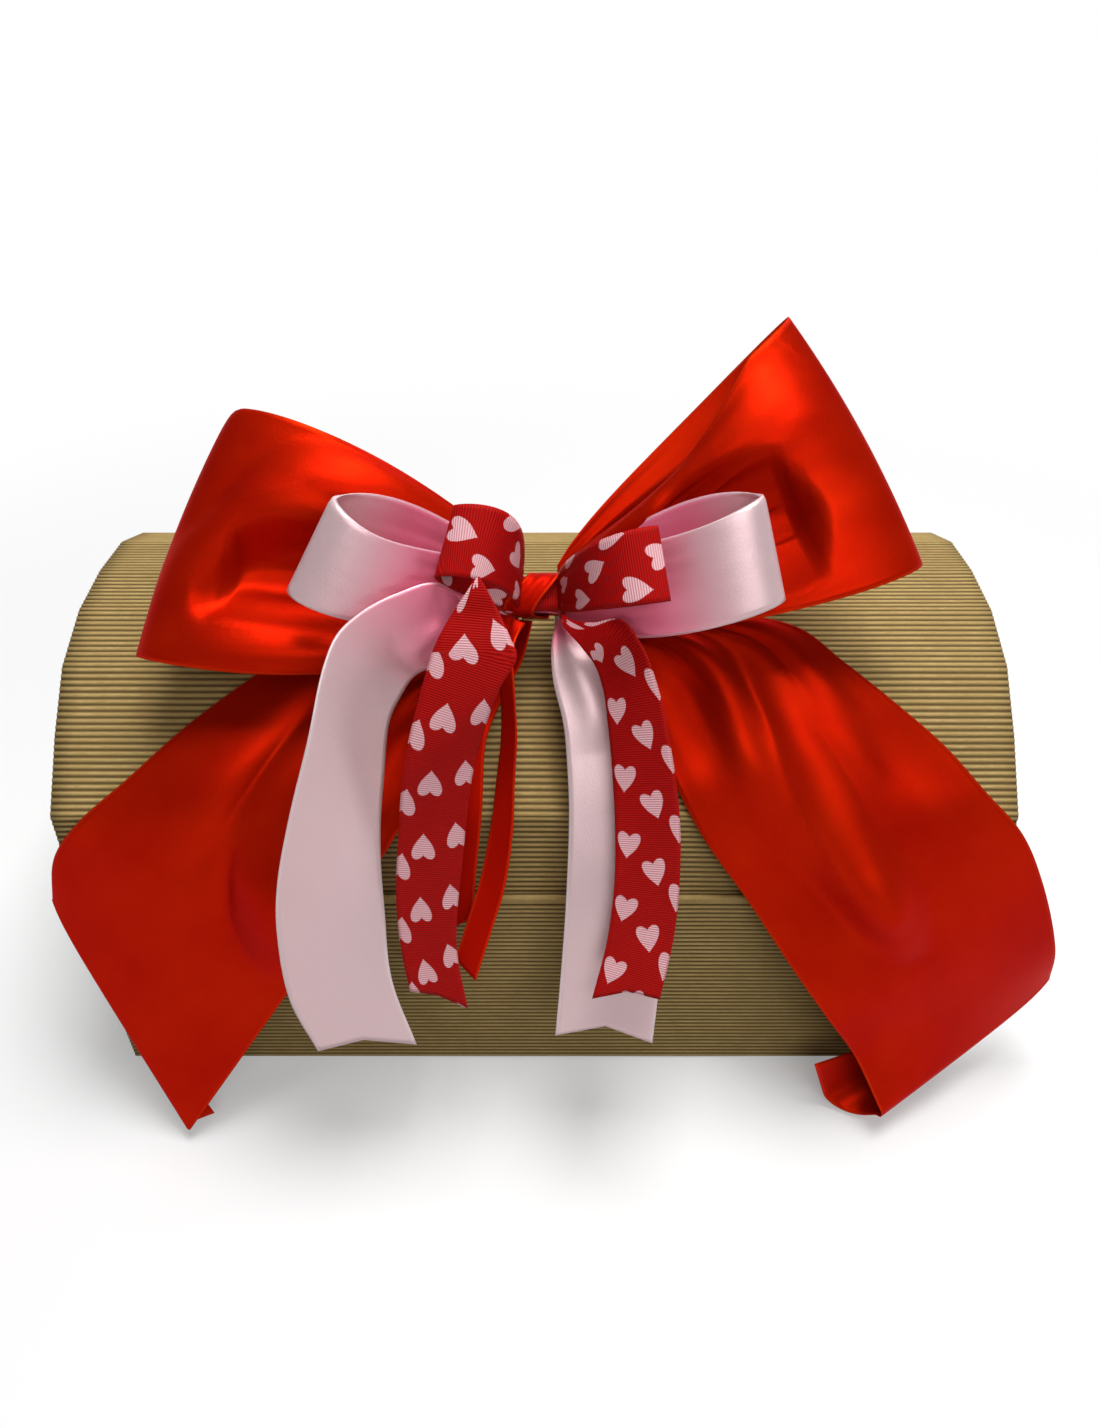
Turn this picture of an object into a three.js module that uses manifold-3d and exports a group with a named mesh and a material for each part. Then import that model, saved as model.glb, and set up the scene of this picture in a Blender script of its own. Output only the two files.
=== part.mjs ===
// Gift trunk box of open-flute kraft card with a barrel lid and a four-ribbon bow.
// Millimetres, +Z up, +X to the right, front towards -Y.
// The origin is the centre of the flat underside.

import * as THREE from "three";
import { mergeVertices } from "three/addons/utils/BufferGeometryUtils.js";
import Module from "manifold-3d";

const wasm = await Module();
wasm.setup();

// Overall sizes of the box
const BOX_LENGTH = 370;
const BOX_DEPTH = 210;
const BASE_HEIGHT = 109;

// Card
const FLUTE_PITCH = 2.564;
const FLUTE_HEIGHT = 0.8;
const MEDIUM = 0.2;
const BACKING = 1.0;
const FLOOR_BOARD = 2.0;
const FOLD_LAYER = 0.7;
const GLUE_LINE = 0.1;
const FIT_GAP = 0.3;

// Base
const RIM_BAND = 4.2;
const FOLD_DROP = 62;
const END_RECESS = 0.5;
const FLAP_LENGTH = 22;

// Lid
const LIP_RISE = 38.7;
const LIP_SETBACK = 6.4;
const LIP_TUCK = 20;
const LIP_CLEARANCE = 0.8;
const LIP_DRAFT = 1.2;
const LIP_SIDE_GAP = 1.0;
const TUCK_CLEARANCE = 4;
const BACK_RISE = 35.6;
const BACK_SETBACK = 6.1;
const HINGE_GAP = 0.7;
const TAB_LENGTH = 18;
const TAB_NOTCH = 2.5;

// Facets of the lid from front to back: share of flutes and slope in degrees
const FACETS = [
  [12, 44.1],
  [11, 37.6],
  [11, 17.9],
  [11, 3.3],
  [11, -5],
  [11, -21],
  [11, -38],
  [12, -46],
];

// Ribbons
const WIDE_RIBBON = 100;
const PINK_RIBBON = 38;
const HEART_RIBBON = 25;
const TIE_RIBBON = 10;
const RIBBON_THICKNESS = 0.8;

// Bow: its plane leans back over the front facets, and its knot stands off the lid
const BOW_LEAN = 51.2;
const KNOT_RIGHT = 2;
const KNOT_BEHIND_FRONT = 52;
const KNOT_ABOVE_BASE = 109;

// Stack at the knot, and the wire behind it
const GATHER_LENGTH = 14;
const GATHER_HEIGHT = 14;
const GATHER_THICKNESS = 6.9;
const GATHER_ROUND = 2.2;
const WIRE_DIAMETER = 1.2;
const WIRE_HOLE = 2.4;
const WIRE_CLEARANCE = 0.4;
const WIRE_TAIL = 14;

// Shape of a loop: where it starts beside its gather, how its layers part and how it fans out
const LOOP_START = 0.03;
const LOOP_SWELL = 0.77;
const LOOP_FAN = 0.55;
const PLEATS = 4;
// A tail's end keeps its cut within the last part of its length
const END_SHAPE = 4;
const CURL_STEPS = 6;

// Loops: middle of the fold, lean of the fold line clockwise and its upper end's tip forward in
// degrees, gap between the layers with the rear layer's share of it, and angle of the open side
const WIDE_LOOPS = {
  left: { end: [-129, 24, 8], lean: 21.5, tip: 0, hollow: 24, rear: 0.3, open: 4 },
  right: { end: [113, 54, 18], lean: -28.5, tip: 0, hollow: 26, rear: 0.4, open: 14 },
};
const PINK_LOOPS = {
  left: { end: [-76, 15, 44], lean: 28, tip: 10, hollow: 20, rear: 0.35, open: 10 },
  right: { end: [78, 12, 48], lean: -14, tip: 8, hollow: 20, rear: 0.35, open: 8 },
};
const HEART_LOOPS = {
  left: { end: [-31, 14, 43], lean: 15.5, tip: 0, hollow: 17, rear: 0.2, open: -14 },
  right: { end: [41, 5, 54], lean: -9.7, tip: 0, hollow: 15, rear: 0.15, open: 0 },
};

// Wide tails, each by points along its left and right selvedge; the end is curled under
const WIDE_TAILS = {
  left: {
    left: [
      [-8, -1, -10], [-18, -4, -14], [-50, -7, -17], [-87, -13, -18], [-112, -31, -12], [-134, -49, -6],
      [-155, -68, -4], [-175, -85, -6], [-189, -100, -16], [-197, -119, -29],
    ],
    right: [
      [-8, -6, -10], [-12, -14, -13], [-26, -34, -13], [-38, -54, -9], [-47, -77, -5], [-57, -94, -8],
      [-74, -119, -16], [-91, -142, -26], [-111, -169, -38], [-150, -222, -60],
    ],
    curl: { radius: 3, degrees: 170, flap: 9, taper: 1 },
  },
  right: {
    left: [
      [8, -6, -10], [12, -15, -13], [23, -22, -13], [34, -36, -10], [44, -53, -7], [52, -72, -5],
      [63, -92, -10], [82, -118, -20], [100, -145, -24], [116, -167, -32],
      [131, -187, -47], [146, -216, -58],
    ],
    right: [
      [8, -1, -10], [22, -5, -13], [70, -5, -13], [99, -11, -9], [115, -24, -6], [132, -38, -5],
      [152, -55, -6], [168, -73, -4], [184, -89, -9], [199, -111, -24],
      [216, -143, -50], [226, -164, -77],
    ],
    curl: { radius: 7.5, degrees: 120, flap: 32, taper: 2.8 },
  },
};

// Narrow tails, by both selvedges, or by the middle of the ribbon and the share of its width
// that is spread there
const PINK_TAILS = {
  left: {
    notch: 4,
    left: [
      [-9.4, -6, -2.4], [-13.5, -12.5, 0], [-20, -12.5, 14], [-34, 0.5, 38], [-48.3, -4, 43],
      [-59, -10.3, 46], [-66.5, -17.5, 47], [-71, -28, 47], [-77, -53, 44], [-85, -79, 36],
      [-91.5, -103, 26], [-94.5, -122.5, 15], [-92.7, -151, 2], [-84.4, -172.5, -8],
    ],
    right: [
      [-9.4, -8, -2.4], [-12.5, -17, -1], [-18, -20, 12], [-29, -24, 24], [-37.5, -27.5, 25],
      [-44, -30.6, 22], [-49.3, -38, 20], [-53.4, -46.6, 18], [-56.1, -67.8, 14], [-57.5, -83, 12],
      [-57.8, -97, 10], [-57, -116, 6], [-55.2, -143, 0], [-47.1, -170.6, -10],
    ],
  },
  right: {
    notch: 6,
    stations: [
      [9.4, -6, -2.4, 0.1], [11, -14, 2, 0.35], [17, -24, 7, 0.72], [26, -42, 8, 0.95],
      [29, -58, 7, 1], [30, -80, 5, 1], [29, -114, 0, 1], [27, -146, -10, 1], [25, -171, -18, 1],
    ],
  },
};
const HEART_TAILS = {
  left: {
    notch: 2,
    left: [
      [-9, -5.5, 5], [-10.5, -8.5, 14], [-14, -9, 28], [-18, -5.5, 40], [-20.5, 0.8, 46.5], [-24, -4, 46.5],
      [-29, -11, 44.5], [-34, -20, 44], [-37, -28, 42.5], [-46, -60, 33], [-50, -88, 20],
      [-52, -112, 11], [-51, -132, 4], [-48.5, -148, -1],
    ],
    right: [
      [-8.6, -4.5, 5], [-9.6, -7, 14], [-13, -7, 28], [-17, -4.2, 40], [-19.3, 1.4, 46.5],
      [-16.2, -4, 47.5], [-12.6, -11, 46.5], [-9, -19, 46.5], [-7, -25, 46], [-13, -36, 43],
      [-22, -61, 30], [-27, -93, 17], [-30.5, -130, 4], [-27, -155, -3],
    ],
  },
  right: {
    notch: 3,
    left: [
      [8, -6.5, 6], [8.6, -12, 14], [15, -20, 20], [20, -27, 22], [23, -36, 22], [24.5, -47, 21],
      [26, -61, 18], [27.5, -84, 14], [27.5, -105, 10], [25, -128, 5], [19.6, -150, 2],
    ],
    right: [
      [9, -5.6, 6], [11.5, -9.8, 14], [19, -11.6, 21], [28.5, -10.8, 27], [35.6, -19.8, 31], [41, -34, 32],
      [45, -50, 29], [49.6, -76, 22], [51, -99, 15], [49.6, -124, 9], [44.6, -149.5, 5],
    ],
  },
};
const TIE_TAILS = {
  front: {
    slant: 3,
    stations: [
      [-6.5, -8.8, 8, 1], [-8.5, -12, 10, 1], [-12, -21, 13, 0.8], [-11.5, -35, 13, 0.7],
      [-11, -52, 9, 0.7], [-12.4, -69, 6, 0.8], [-13.8, -86, 4, 0.9], [-17.4, -107, 1, 1],
      [-22.6, -124, -2, 1], [-28, -141, -5, 1],
    ],
  },
  rear: {
    slant: -3,
    stations: [
      [-2, -8.8, -1, 1], [-2, -13, -4, 1], [-8, -22, -8, 1], [-16, -33, -8, 1], [-22, -44, -5, 1],
      [-25, -54, -2, 1], [-26.5, -80, -2, 1], [-29, -104, -7, 1], [-31, -125, -12, 1],
    ],
  },
};

const KRAFT = 0xb99660;
const KRAFT_LINER = 0xa98a5c;
const RED_SATIN = 0xc01008;
const PINK_SATIN = 0xe8c0c6;
const HEART_RED = 0xc8141e;
const STEEL_WIRE = 0xb8b8b4;

const object = new THREE.Group();
const bow = new THREE.Group();
object.add(bow);

// Axes of an extrusion whose outline is drawn in (Y, Z) and which runs along X
const ALONG_X = new THREE.Matrix4().makeBasis(
  new THREE.Vector3(0, 1, 0),
  new THREE.Vector3(0, 0, 1),
  new THREE.Vector3(1, 0, 0),
);
// Axes of an extrusion whose outline is drawn in (X, Z) and which runs towards -Y
const ALONG_Y = new THREE.Matrix4().makeBasis(
  new THREE.Vector3(1, 0, 0),
  new THREE.Vector3(0, 0, 1),
  new THREE.Vector3(0, -1, 0),
);

function addMesh(parent, name, geometry, color, roughness = 0.9, metalness = 0) {
  const material = new THREE.MeshStandardMaterial({ color, roughness, metalness });
  const mesh = new THREE.Mesh(geometry, material);
  mesh.name = name;
  parent.add(mesh);
  return mesh;
}

function shapeOf(points) {
  return new THREE.Shape(points.map(([x, y]) => new THREE.Vector2(x, y)));
}

// Extrudes an outline drawn in (Y, Z) from one X to another
function extrudeX(points, fromX, toX) {
  const geometry = new THREE.ExtrudeGeometry(shapeOf(points), {
    depth: toX - fromX,
    bevelEnabled: false,
  });
  return geometry.applyMatrix4(ALONG_X).translate(fromX, 0, 0);
}

// Extrudes an outline drawn in (X, Z) from one Y to another
function extrudeY(points, fromY, toY) {
  const geometry = new THREE.ExtrudeGeometry(shapeOf(points), {
    depth: toY - fromY,
    bevelEnabled: false,
  });
  return geometry.applyMatrix4(ALONG_Y).translate(0, toY, 0);
}

function boxBetween(low, high) {
  const geometry = new THREE.BoxGeometry(high[0] - low[0], high[1] - low[1], high[2] - low[2]);
  return geometry.translate((low[0] + high[0]) / 2, (low[1] + high[1]) / 2, (low[2] + high[2]) / 2);
}

function toSolid(geometry) {
  const bare = geometry.clone();
  bare.deleteAttribute("normal");
  bare.deleteAttribute("uv");
  const merged = mergeVertices(bare, 1e-4);
  return new wasm.Manifold(new wasm.Mesh({
    numProp: 3,
    vertProperties: new Float32Array(merged.attributes.position.array),
    triVerts: new Uint32Array(merged.index.array),
  }));
}

function toGeometry(solid) {
  const mesh = solid.getMesh();
  const geometry = new THREE.BufferGeometry();
  geometry.setAttribute("position", new THREE.BufferAttribute(mesh.vertProperties, 3));
  geometry.setIndex(new THREE.BufferAttribute(mesh.triVerts, 1));
  return geometry;
}

function joined(geometries) {
  return toGeometry(geometries.map(toSolid).reduce((whole, piece) => whole.add(piece)));
}

function cutBy(geometry, cutters) {
  const whole = toSolid(geometry);
  return toGeometry(cutters.map(toSolid).reduce((rest, cutter) => rest.subtract(cutter), whole));
}

function common(first, second) {
  return toGeometry(toSolid(first).intersect(toSolid(second)));
}

// Moves an open path sideways: positive to the left of its direction, with mitred corners
function offsetPath(path, distance) {
  return path.map((point, i) => {
    const before = path[Math.max(i - 1, 0)];
    const here = path[Math.min(i, path.length - 2)];
    const after = path[Math.min(i + 1, path.length - 1)];
    const into = i > 0 ? normalOf(before, point) : normalOf(here, after);
    const out = i < path.length - 1 ? normalOf(point, after) : into;
    const scale = distance / (1 + into[0] * out[0] + into[1] * out[1]);
    return [point[0] + (into[0] + out[0]) * scale, point[1] + (into[1] + out[1]) * scale];
  });
}

function normalOf(from, to) {
  const run = to[0] - from[0];
  const rise = to[1] - from[1];
  const length = Math.hypot(run, rise);
  return [-rise / length, run / length];
}

// Closed outline of a sheet whose outer face follows a path, thickness to the path's right
function sheetOutline(path, thickness) {
  return [...path, ...offsetPath(path, -thickness).reverse()];
}

// Closed outline of corrugated paper: crests on the path, flat glued face to the path's right
function flutedOutline(path) {
  const valleys = offsetPath(path, MEDIUM - FLUTE_HEIGHT);
  const ridged = [valleys[0]];
  for (let i = 0; i < path.length - 1; i++) {
    const [start, end] = [path[i], path[i + 1]];
    const [low, high] = [valleys[i], valleys[i + 1]];
    const count = Math.max(1, Math.round(Math.hypot(end[0] - start[0], end[1] - start[1]) / FLUTE_PITCH));
    for (let k = 0; k < count; k++) {
      const crest = (k + 0.5) / count;
      const valley = (k + 1) / count;
      ridged.push([start[0] + (end[0] - start[0]) * crest, start[1] + (end[1] - start[1]) * crest]);
      ridged.push([low[0] + (high[0] - low[0]) * valley, low[1] + (high[1] - low[1]) * valley]);
    }
  }
  return [...ridged, ...offsetPath(path, -FLUTE_HEIGHT).reverse()];
}

// Lines of the box that several pieces share
const halfLength = BOX_LENGTH / 2;
const halfDepth = BOX_DEPTH / 2;
const skin = FLUTE_HEIGHT + GLUE_LINE;
const frontBoard = -halfDepth + skin;
const backBoard = halfDepth - skin;
const frontInside = frontBoard + BACKING + FOLD_LAYER;
const backInside = backBoard - BACKING;
const endCrest = halfLength - END_RECESS;
const endBoard = endCrest - skin;
const endInside = endBoard - BACKING;
const tuckBottom = BASE_HEIGHT - LIP_TUCK;
const lidBottom = BASE_HEIGHT + HINGE_GAP;
const frontCrease = [-halfDepth + LIP_SETBACK, BASE_HEIGHT + LIP_RISE];
const lipAtRim = [frontInside + LIP_CLEARANCE, BASE_HEIGHT];
const lipFoot = [lipAtRim[0] + LIP_DRAFT, tuckBottom];

// Crest line of the lid, from the foot of the tucked lip over the facets to the hinge
function lidPath() {
  const span = BOX_DEPTH - LIP_SETBACK - BACK_SETBACK;
  const radians = FACETS.map(([, slope]) => THREE.MathUtils.degToRad(slope));
  const reach = FACETS.reduce((sum, [flutes], i) => sum + flutes * Math.cos(radians[i]), 0);
  const rise = FACETS.reduce((sum, [flutes], i) => sum + flutes * Math.sin(radians[i]), 0);
  const step = span / reach;
  const settle = (BASE_HEIGHT + BACK_RISE - frontCrease[1] - rise * step) / span;
  const path = [lipFoot, lipAtRim, frontCrease];
  FACETS.forEach(([flutes], i) => {
    const [y, z] = path[path.length - 1];
    const run = flutes * step * Math.cos(radians[i]);
    path.push([y + run, z + flutes * step * Math.sin(radians[i]) + run * settle]);
  });
  path.push([halfDepth, lidBottom]);
  return path;
}

const lidCrest = lidPath();
const lidBoard = offsetPath(lidCrest, -skin);
const lidInside = offsetPath(lidBoard, -BACKING);

// Base tray: front wall, floor and back wall bent from one sheet, folded over at the front rim
function baseSheet() {
  const rimFace = frontBoard - skin + GLUE_LINE;
  const rimFoot = BASE_HEIGHT - RIM_BAND;
  const round = (frontInside - rimFace) / 2;
  const rim = [];
  for (let i = 0; i <= 6; i++) {
    const angle = Math.PI * (1 - i / 6);
    rim.push([rimFace + round + round * Math.cos(angle), BASE_HEIGHT - round + round * Math.sin(angle)]);
  }
  return extrudeX([
    [frontBoard, 0],
    [backBoard, 0],
    [backBoard, BASE_HEIGHT],
    [backInside, BASE_HEIGHT],
    [backInside, FLOOR_BOARD],
    [frontBoard + BACKING, FLOOR_BOARD],
    [frontBoard + BACKING, BASE_HEIGHT - FOLD_DROP],
    [frontInside, BASE_HEIGHT - FOLD_DROP],
    ...rim.reverse(),
    [rimFace, rimFoot + skin],
    [frontBoard, rimFoot],
  ], -halfLength, halfLength);
}

// End panel of the base with a glue flap along the front wall and one along the back wall
function baseEnd(side) {
  const front = frontInside + FIT_GAP;
  const back = backInside - FIT_GAP;
  const foot = FLOOR_BOARD + FIT_GAP;
  const inner = endInside - FLAP_LENGTH;
  const flapTop = tuckBottom - TUCK_CLEARANCE;
  const pieces = [
    boxBetween([endInside, front, foot], [endBoard, back, BASE_HEIGHT]),
    boxBetween([inner, front, foot], [endBoard, front + BACKING, flapTop]),
    boxBetween([inner, back - BACKING, foot], [endBoard, back, BASE_HEIGHT]),
  ];
  return mirrored(joined(pieces), side);
}

// Pieces are drawn for the right end, and side -1 gives the left end
function mirrored(geometry, side) {
  if (side > 0) return geometry;
  const flipped = geometry.scale(-1, 1, 1);
  const index = flipped.index.array;
  for (let i = 0; i < index.length; i += 3) [index[i], index[i + 1]] = [index[i + 1], index[i]];
  return flipped;
}

// Corrugated paper of an end, flutes lying front to back, between two heights
function endFluting(fromZ, toZ, fromY, toY) {
  return extrudeY(flutedOutline([[endCrest, toZ], [endCrest, fromZ]]), fromY, toY);
}

// Outline of a lid cheek in (Y, Z), a glue line inside the sheet
function cheekOutline(gap) {
  return offsetPath(lidInside, -gap).slice(1).map(([y, z]) => [y, Math.max(z, lidBottom)]);
}

function lidCheek(side) {
  const outline = cheekOutline(GLUE_LINE);
  const pieces = [extrudeX([...outline].reverse(), endInside, endBoard)];
  for (let i = 1; i < outline.length - 2; i++) {
    pieces.push(extrudeX(tabOutline(outline[i], outline[i + 1]), endInside - TAB_LENGTH, endBoard));
  }
  return mirrored(joined(pieces), side);
}

// Section of one glue tab under a facet, notched short of the creases
function tabOutline(from, to) {
  const length = Math.hypot(to[0] - from[0], to[1] - from[1]);
  const cut = TAB_NOTCH / length;
  const along = (share) => [from[0] + (to[0] - from[0]) * share, from[1] + (to[1] - from[1]) * share];
  return sheetOutline([along(cut), along(1 - cut)], BACKING).reverse();
}

function cheekFluting(side) {
  const outline = cheekOutline(GLUE_LINE);
  const [low, high] = [outline[0][0], outline[outline.length - 1][0]];
  const top = Math.max(...outline.map(([, z]) => z));
  const slab = endFluting(lidBottom, top, low, high);
  return mirrored(common(slab, extrudeX([...outline].reverse(), endBoard, halfLength)), side);
}

// Takes the corners off the tucked lip, so that it passes between the end panels of the base
function lipCorners() {
  const reach = endInside - LIP_SIDE_GAP;
  const deep = lipFoot[0] + FLUTE_HEIGHT + BACKING + LIP_SETBACK;
  return [-1, 1].map((side) => boxBetween(
    [side > 0 ? reach : -halfLength - 1, -halfDepth, tuckBottom - 1],
    [side > 0 ? halfLength + 1 : -reach, deep, lidBottom],
  ));
}

// Knot and the wire's two holes
const knot = new THREE.Vector3(KNOT_RIGHT, -halfDepth + KNOT_BEHIND_FRONT, BASE_HEIGHT + KNOT_ABOVE_BASE);
bow.position.copy(knot);
bow.rotation.x = THREE.MathUtils.degToRad(BOW_LEAN);

// The wire's holes go through the facet under the knot, half way along it
const wireFacet = 4;
const wireSeat = [
  (lidCrest[wireFacet][0] + lidCrest[wireFacet + 1][0]) / 2,
  (lidCrest[wireFacet][1] + lidCrest[wireFacet + 1][1]) / 2,
];
const wireNormal = normalOf(lidCrest[wireFacet], lidCrest[wireFacet + 1]);

const wireReach = TIE_RIBBON / 2 + WIRE_DIAMETER / 2 + 2 * WIRE_CLEARANCE;

function wireHoles() {
  return [-1, 1].map((side) => {
    const hole = new THREE.CylinderGeometry(WIRE_HOLE / 2, WIRE_HOLE / 2, 12, 12);
    hole.rotateX(Math.atan2(wireNormal[1], wireNormal[0]));
    return hole.translate(KNOT_RIGHT + side * wireReach, wireSeat[0], wireSeat[1]);
  });
}

// Box pieces
addMesh(object, "base_sheet", baseSheet(), KRAFT_LINER);
const frontFlutes = [[-halfDepth, FIT_GAP], [-halfDepth, BASE_HEIGHT - RIM_BAND - FIT_GAP]];
const backFlutes = [[halfDepth, BASE_HEIGHT], [halfDepth, FIT_GAP]];
for (const [name, path] of [["front", frontFlutes], ["back", backFlutes]]) {
  const fluting = extrudeX(flutedOutline(path).reverse(), -halfLength, halfLength);
  addMesh(object, `base_${name}_fluting`, fluting, KRAFT);
}
for (const [name, side] of [["left", -1], ["right", 1]]) {
  addMesh(object, `base_end_${name}`, baseEnd(side), KRAFT_LINER);
  const slab = endFluting(FLOOR_BOARD + FIT_GAP, BASE_HEIGHT, frontInside + FIT_GAP, backInside - FIT_GAP);
  addMesh(object, `base_end_fluting_${name}`, mirrored(toGeometry(toSolid(slab)), side), KRAFT);
  addMesh(object, `lid_end_${name}`, lidCheek(side), KRAFT_LINER);
  addMesh(object, `lid_end_fluting_${name}`, cheekFluting(side), KRAFT);
}
const lidSheet = extrudeX(sheetOutline(lidBoard, BACKING).reverse(), -halfLength, halfLength);
const lidSkin = extrudeX(flutedOutline(lidCrest).reverse(), -halfLength, halfLength);
addMesh(object, "lid_sheet", cutBy(lidSheet, [...lipCorners(), ...wireHoles()]), KRAFT_LINER);
addMesh(object, "lid_fluting", cutBy(lidSkin, [...lipCorners(), ...wireHoles()]), KRAFT);

// Bow, in its own plane: x to the right, y up the plane, z out of it, origin at the knot

// A cloth solid from a grid of points, rows along the ribbon and columns across it
function clothSolid(rows, thickness) {
  const count = rows.length;
  const columns = rows[0].length;
  const at = (i, j) => rows[Math.min(Math.max(i, 0), count - 1)][Math.min(Math.max(j, 0), columns - 1)];
  const front = [];
  const back = [];
  for (let i = 0; i < count; i++) {
    for (let j = 0; j < columns; j++) {
      const along = at(i + 1, j).clone().sub(at(i - 1, j));
      const across = at(i, j + 1).clone().sub(at(i, j - 1));
      const half = along.cross(across).setLength(thickness / 2);
      front.push(...at(i, j).clone().add(half).toArray());
      back.push(...at(i, j).clone().sub(half).toArray());
    }
  }
  const indices = [];
  const quad = (a, b, c, d) => indices.push(a, b, c, a, c, d);
  const f = (i, j) => i * columns + j;
  const r = (i, j) => count * columns + f(i, j);
  for (let i = 0; i < count - 1; i++) {
    for (let j = 0; j < columns - 1; j++) {
      quad(f(i, j), f(i + 1, j), f(i + 1, j + 1), f(i, j + 1));
      quad(r(i, j), r(i, j + 1), r(i + 1, j + 1), r(i + 1, j));
    }
    quad(f(i, 0), r(i, 0), r(i + 1, 0), f(i + 1, 0));
    quad(f(i, columns - 1), f(i + 1, columns - 1), r(i + 1, columns - 1), r(i, columns - 1));
  }
  for (let j = 0; j < columns - 1; j++) {
    quad(f(0, j), f(0, j + 1), r(0, j + 1), r(0, j));
    quad(f(count - 1, j), r(count - 1, j), r(count - 1, j + 1), f(count - 1, j + 1));
  }
  const geometry = new THREE.BufferGeometry();
  geometry.setAttribute("position", new THREE.Float32BufferAttribute([...front, ...back], 3));
  geometry.setIndex(indices);
  return geometry;
}

// Share of the full width that a gathered ribbon spreads to at a share of its way out
function fan(share, pinch) {
  return pinch + (1 - pinch) * Math.pow(share, LOOP_FAN);
}

// A loop: out over the front layer to the fold at its end and back over the rear layer.
// end is the middle of the fold, lean turns the fold line clockwise from upright, tip brings
// its upper end forward, hollow is the gap between the layers, rear is the rear layer's share.
function loopRows(form, { end, lean, tip, hollow, rear, open }) {
  const { width, layer, rootGap, columns, steps, pinch, bulge, pleat = 0 } = form;
  const side = Math.sign(end[0]);
  const first = Math.acos(1 - 2 * LOOP_START);
  const startX = side * (GATHER_LENGTH / 2 + rootGap);
  const root = new THREE.Vector3((startX - LOOP_START * end[0]) / (1 - LOOP_START), 0, layer);
  const reach = new THREE.Vector3(...end).sub(root);
  const foldAt = (out) => {
    const turn = THREE.MathUtils.degToRad(lean) * Math.sqrt(out);
    const forward = THREE.MathUtils.degToRad(tip) * Math.sqrt(out);
    return new THREE.Vector3(
      Math.sin(turn) * Math.cos(forward),
      Math.cos(turn) * Math.cos(forward),
      Math.sin(forward),
    );
  };
  const fold = foldAt(1);
  const facing = reach.clone().cross(fold).normalize();
  if (facing.z < 0) facing.negate();
  const shear = THREE.MathUtils.degToRad(open);
  const depthway = facing.multiplyScalar(Math.cos(shear)).addScaledVector(fold, -Math.sin(shear));
  const outward = reach.clone().normalize();
  const rows = [];
  for (let i = 0; i <= steps; i++) {
    const angle = first + (2 * Math.PI - 2 * first) * (i / steps);
    const out = (1 - Math.cos(angle)) / 2;
    const swell = Math.sin(angle) * Math.sin(angle / 2) / LOOP_SWELL;
    const off = hollow * (swell > 0 ? 1 - rear : rear) * swell;
    const row = [];
    for (let j = 0; j <= columns; j++) {
      const across = 2 * j / columns - 1;
      const ripple = pleat * 4 * out * (1 - out) * Math.cos(PLEATS * Math.PI * across) * (1 - out);
      row.push(root.clone()
        .addScaledVector(reach, out)
        .addScaledVector(foldAt(out), across * width / 2 * fan(out, pinch))
        .addScaledVector(outward, bulge * (1 - across * across) * out * out)
        .addScaledVector(depthway, off + ripple));
    }
    rows.push(row);
  }
  return side > 0 ? rows : rows.reverse();
}

// Points along both selvedges of a narrow tail that keeps level with the bow's plane
function selvedgesOf(width, stations) {
  const middles = stations.map(([x, y, z]) => new THREE.Vector3(x, y, z));
  const curve = new THREE.CatmullRomCurve3(middles, false, "centripetal");
  const outOfPlane = new THREE.Vector3(0, 0, 1);
  const edge = (side) => stations.map(([, , , spread], k) => {
    const along = curve.getTangent(k / (stations.length - 1));
    const across = outOfPlane.clone().cross(along).normalize();
    return middles[k].clone().addScaledVector(across, side * width / 2 * spread);
  });
  return { left: edge(-1), right: edge(1) };
}

// A hanging stretch between its two selvedges, pleated at the root and crowned on the way.
// slant makes the end longer at the right selvedge, notch cuts a shallow V into the end.
function tailRows({ columns, steps, pleat = 0, crown = 0 }, { left, right }, { slant = 0, notch = 0 }) {
  const curves = [left, right].map((points) => new THREE.CatmullRomCurve3(points, false, "centripetal"));
  const rows = [];
  for (let i = 0; i <= steps; i++) {
    const share = i / steps;
    const [from, to] = curves.map((curve) => curve.getPoint(share));
    const along = curves[0].getTangent(share).add(curves[1].getTangent(share)).normalize();
    const outward = along.clone().cross(to.clone().sub(from)).normalize();
    const row = [];
    for (let j = 0; j <= columns; j++) {
      const t = 2 * j / columns - 1;
      const ripple = pleat * (1 - share) * (1 - share) * Math.cos(PLEATS * Math.PI * t);
      row.push(from.clone().lerp(to, j / columns)
        .addScaledVector(along, (slant * t - notch * (1 - Math.abs(t))) * Math.pow(share, END_SHAPE))
        .addScaledVector(outward, ripple + crown * (1 - t * t) * Math.sin(Math.PI * share)));
    }
    rows.push(row);
  }
  return rows;
}

// Curls the end of a tail under, round a roll along its last row. The flap beyond the roll is
// longest at the selvedge towards the middle of the bow, and taper shortens it outwards.
function curledUnder(rows, side, { radius, degrees, flap, taper }) {
  const [before, last] = rows.slice(-2);
  const columns = last.length - 1;
  const middle = columns / 2;
  const axis = last[columns].clone().sub(last[0]).normalize();
  const ahead = last[middle].clone().sub(before[middle]);
  ahead.addScaledVector(axis, -ahead.dot(axis)).normalize();
  const outward = ahead.clone().cross(axis);
  const most = THREE.MathUtils.degToRad(degrees);
  const curled = (angle, beyond) => last.map((point, j) => {
    const outer = side > 0 ? j / columns : 1 - j / columns;
    const straight = beyond * flap * Math.pow(1 - outer, taper);
    return point.clone()
      .addScaledVector(ahead, radius * Math.sin(angle) + straight * Math.cos(angle))
      .addScaledVector(outward, -radius * (1 - Math.cos(angle)) - straight * Math.sin(angle));
  });
  const turns = Array.from({ length: CURL_STEPS }, (_, k) => curled(most * (k + 1) / CURL_STEPS, 0));
  return [...rows, ...turns, curled(most, 0.5), curled(most, 1)];
}

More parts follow.
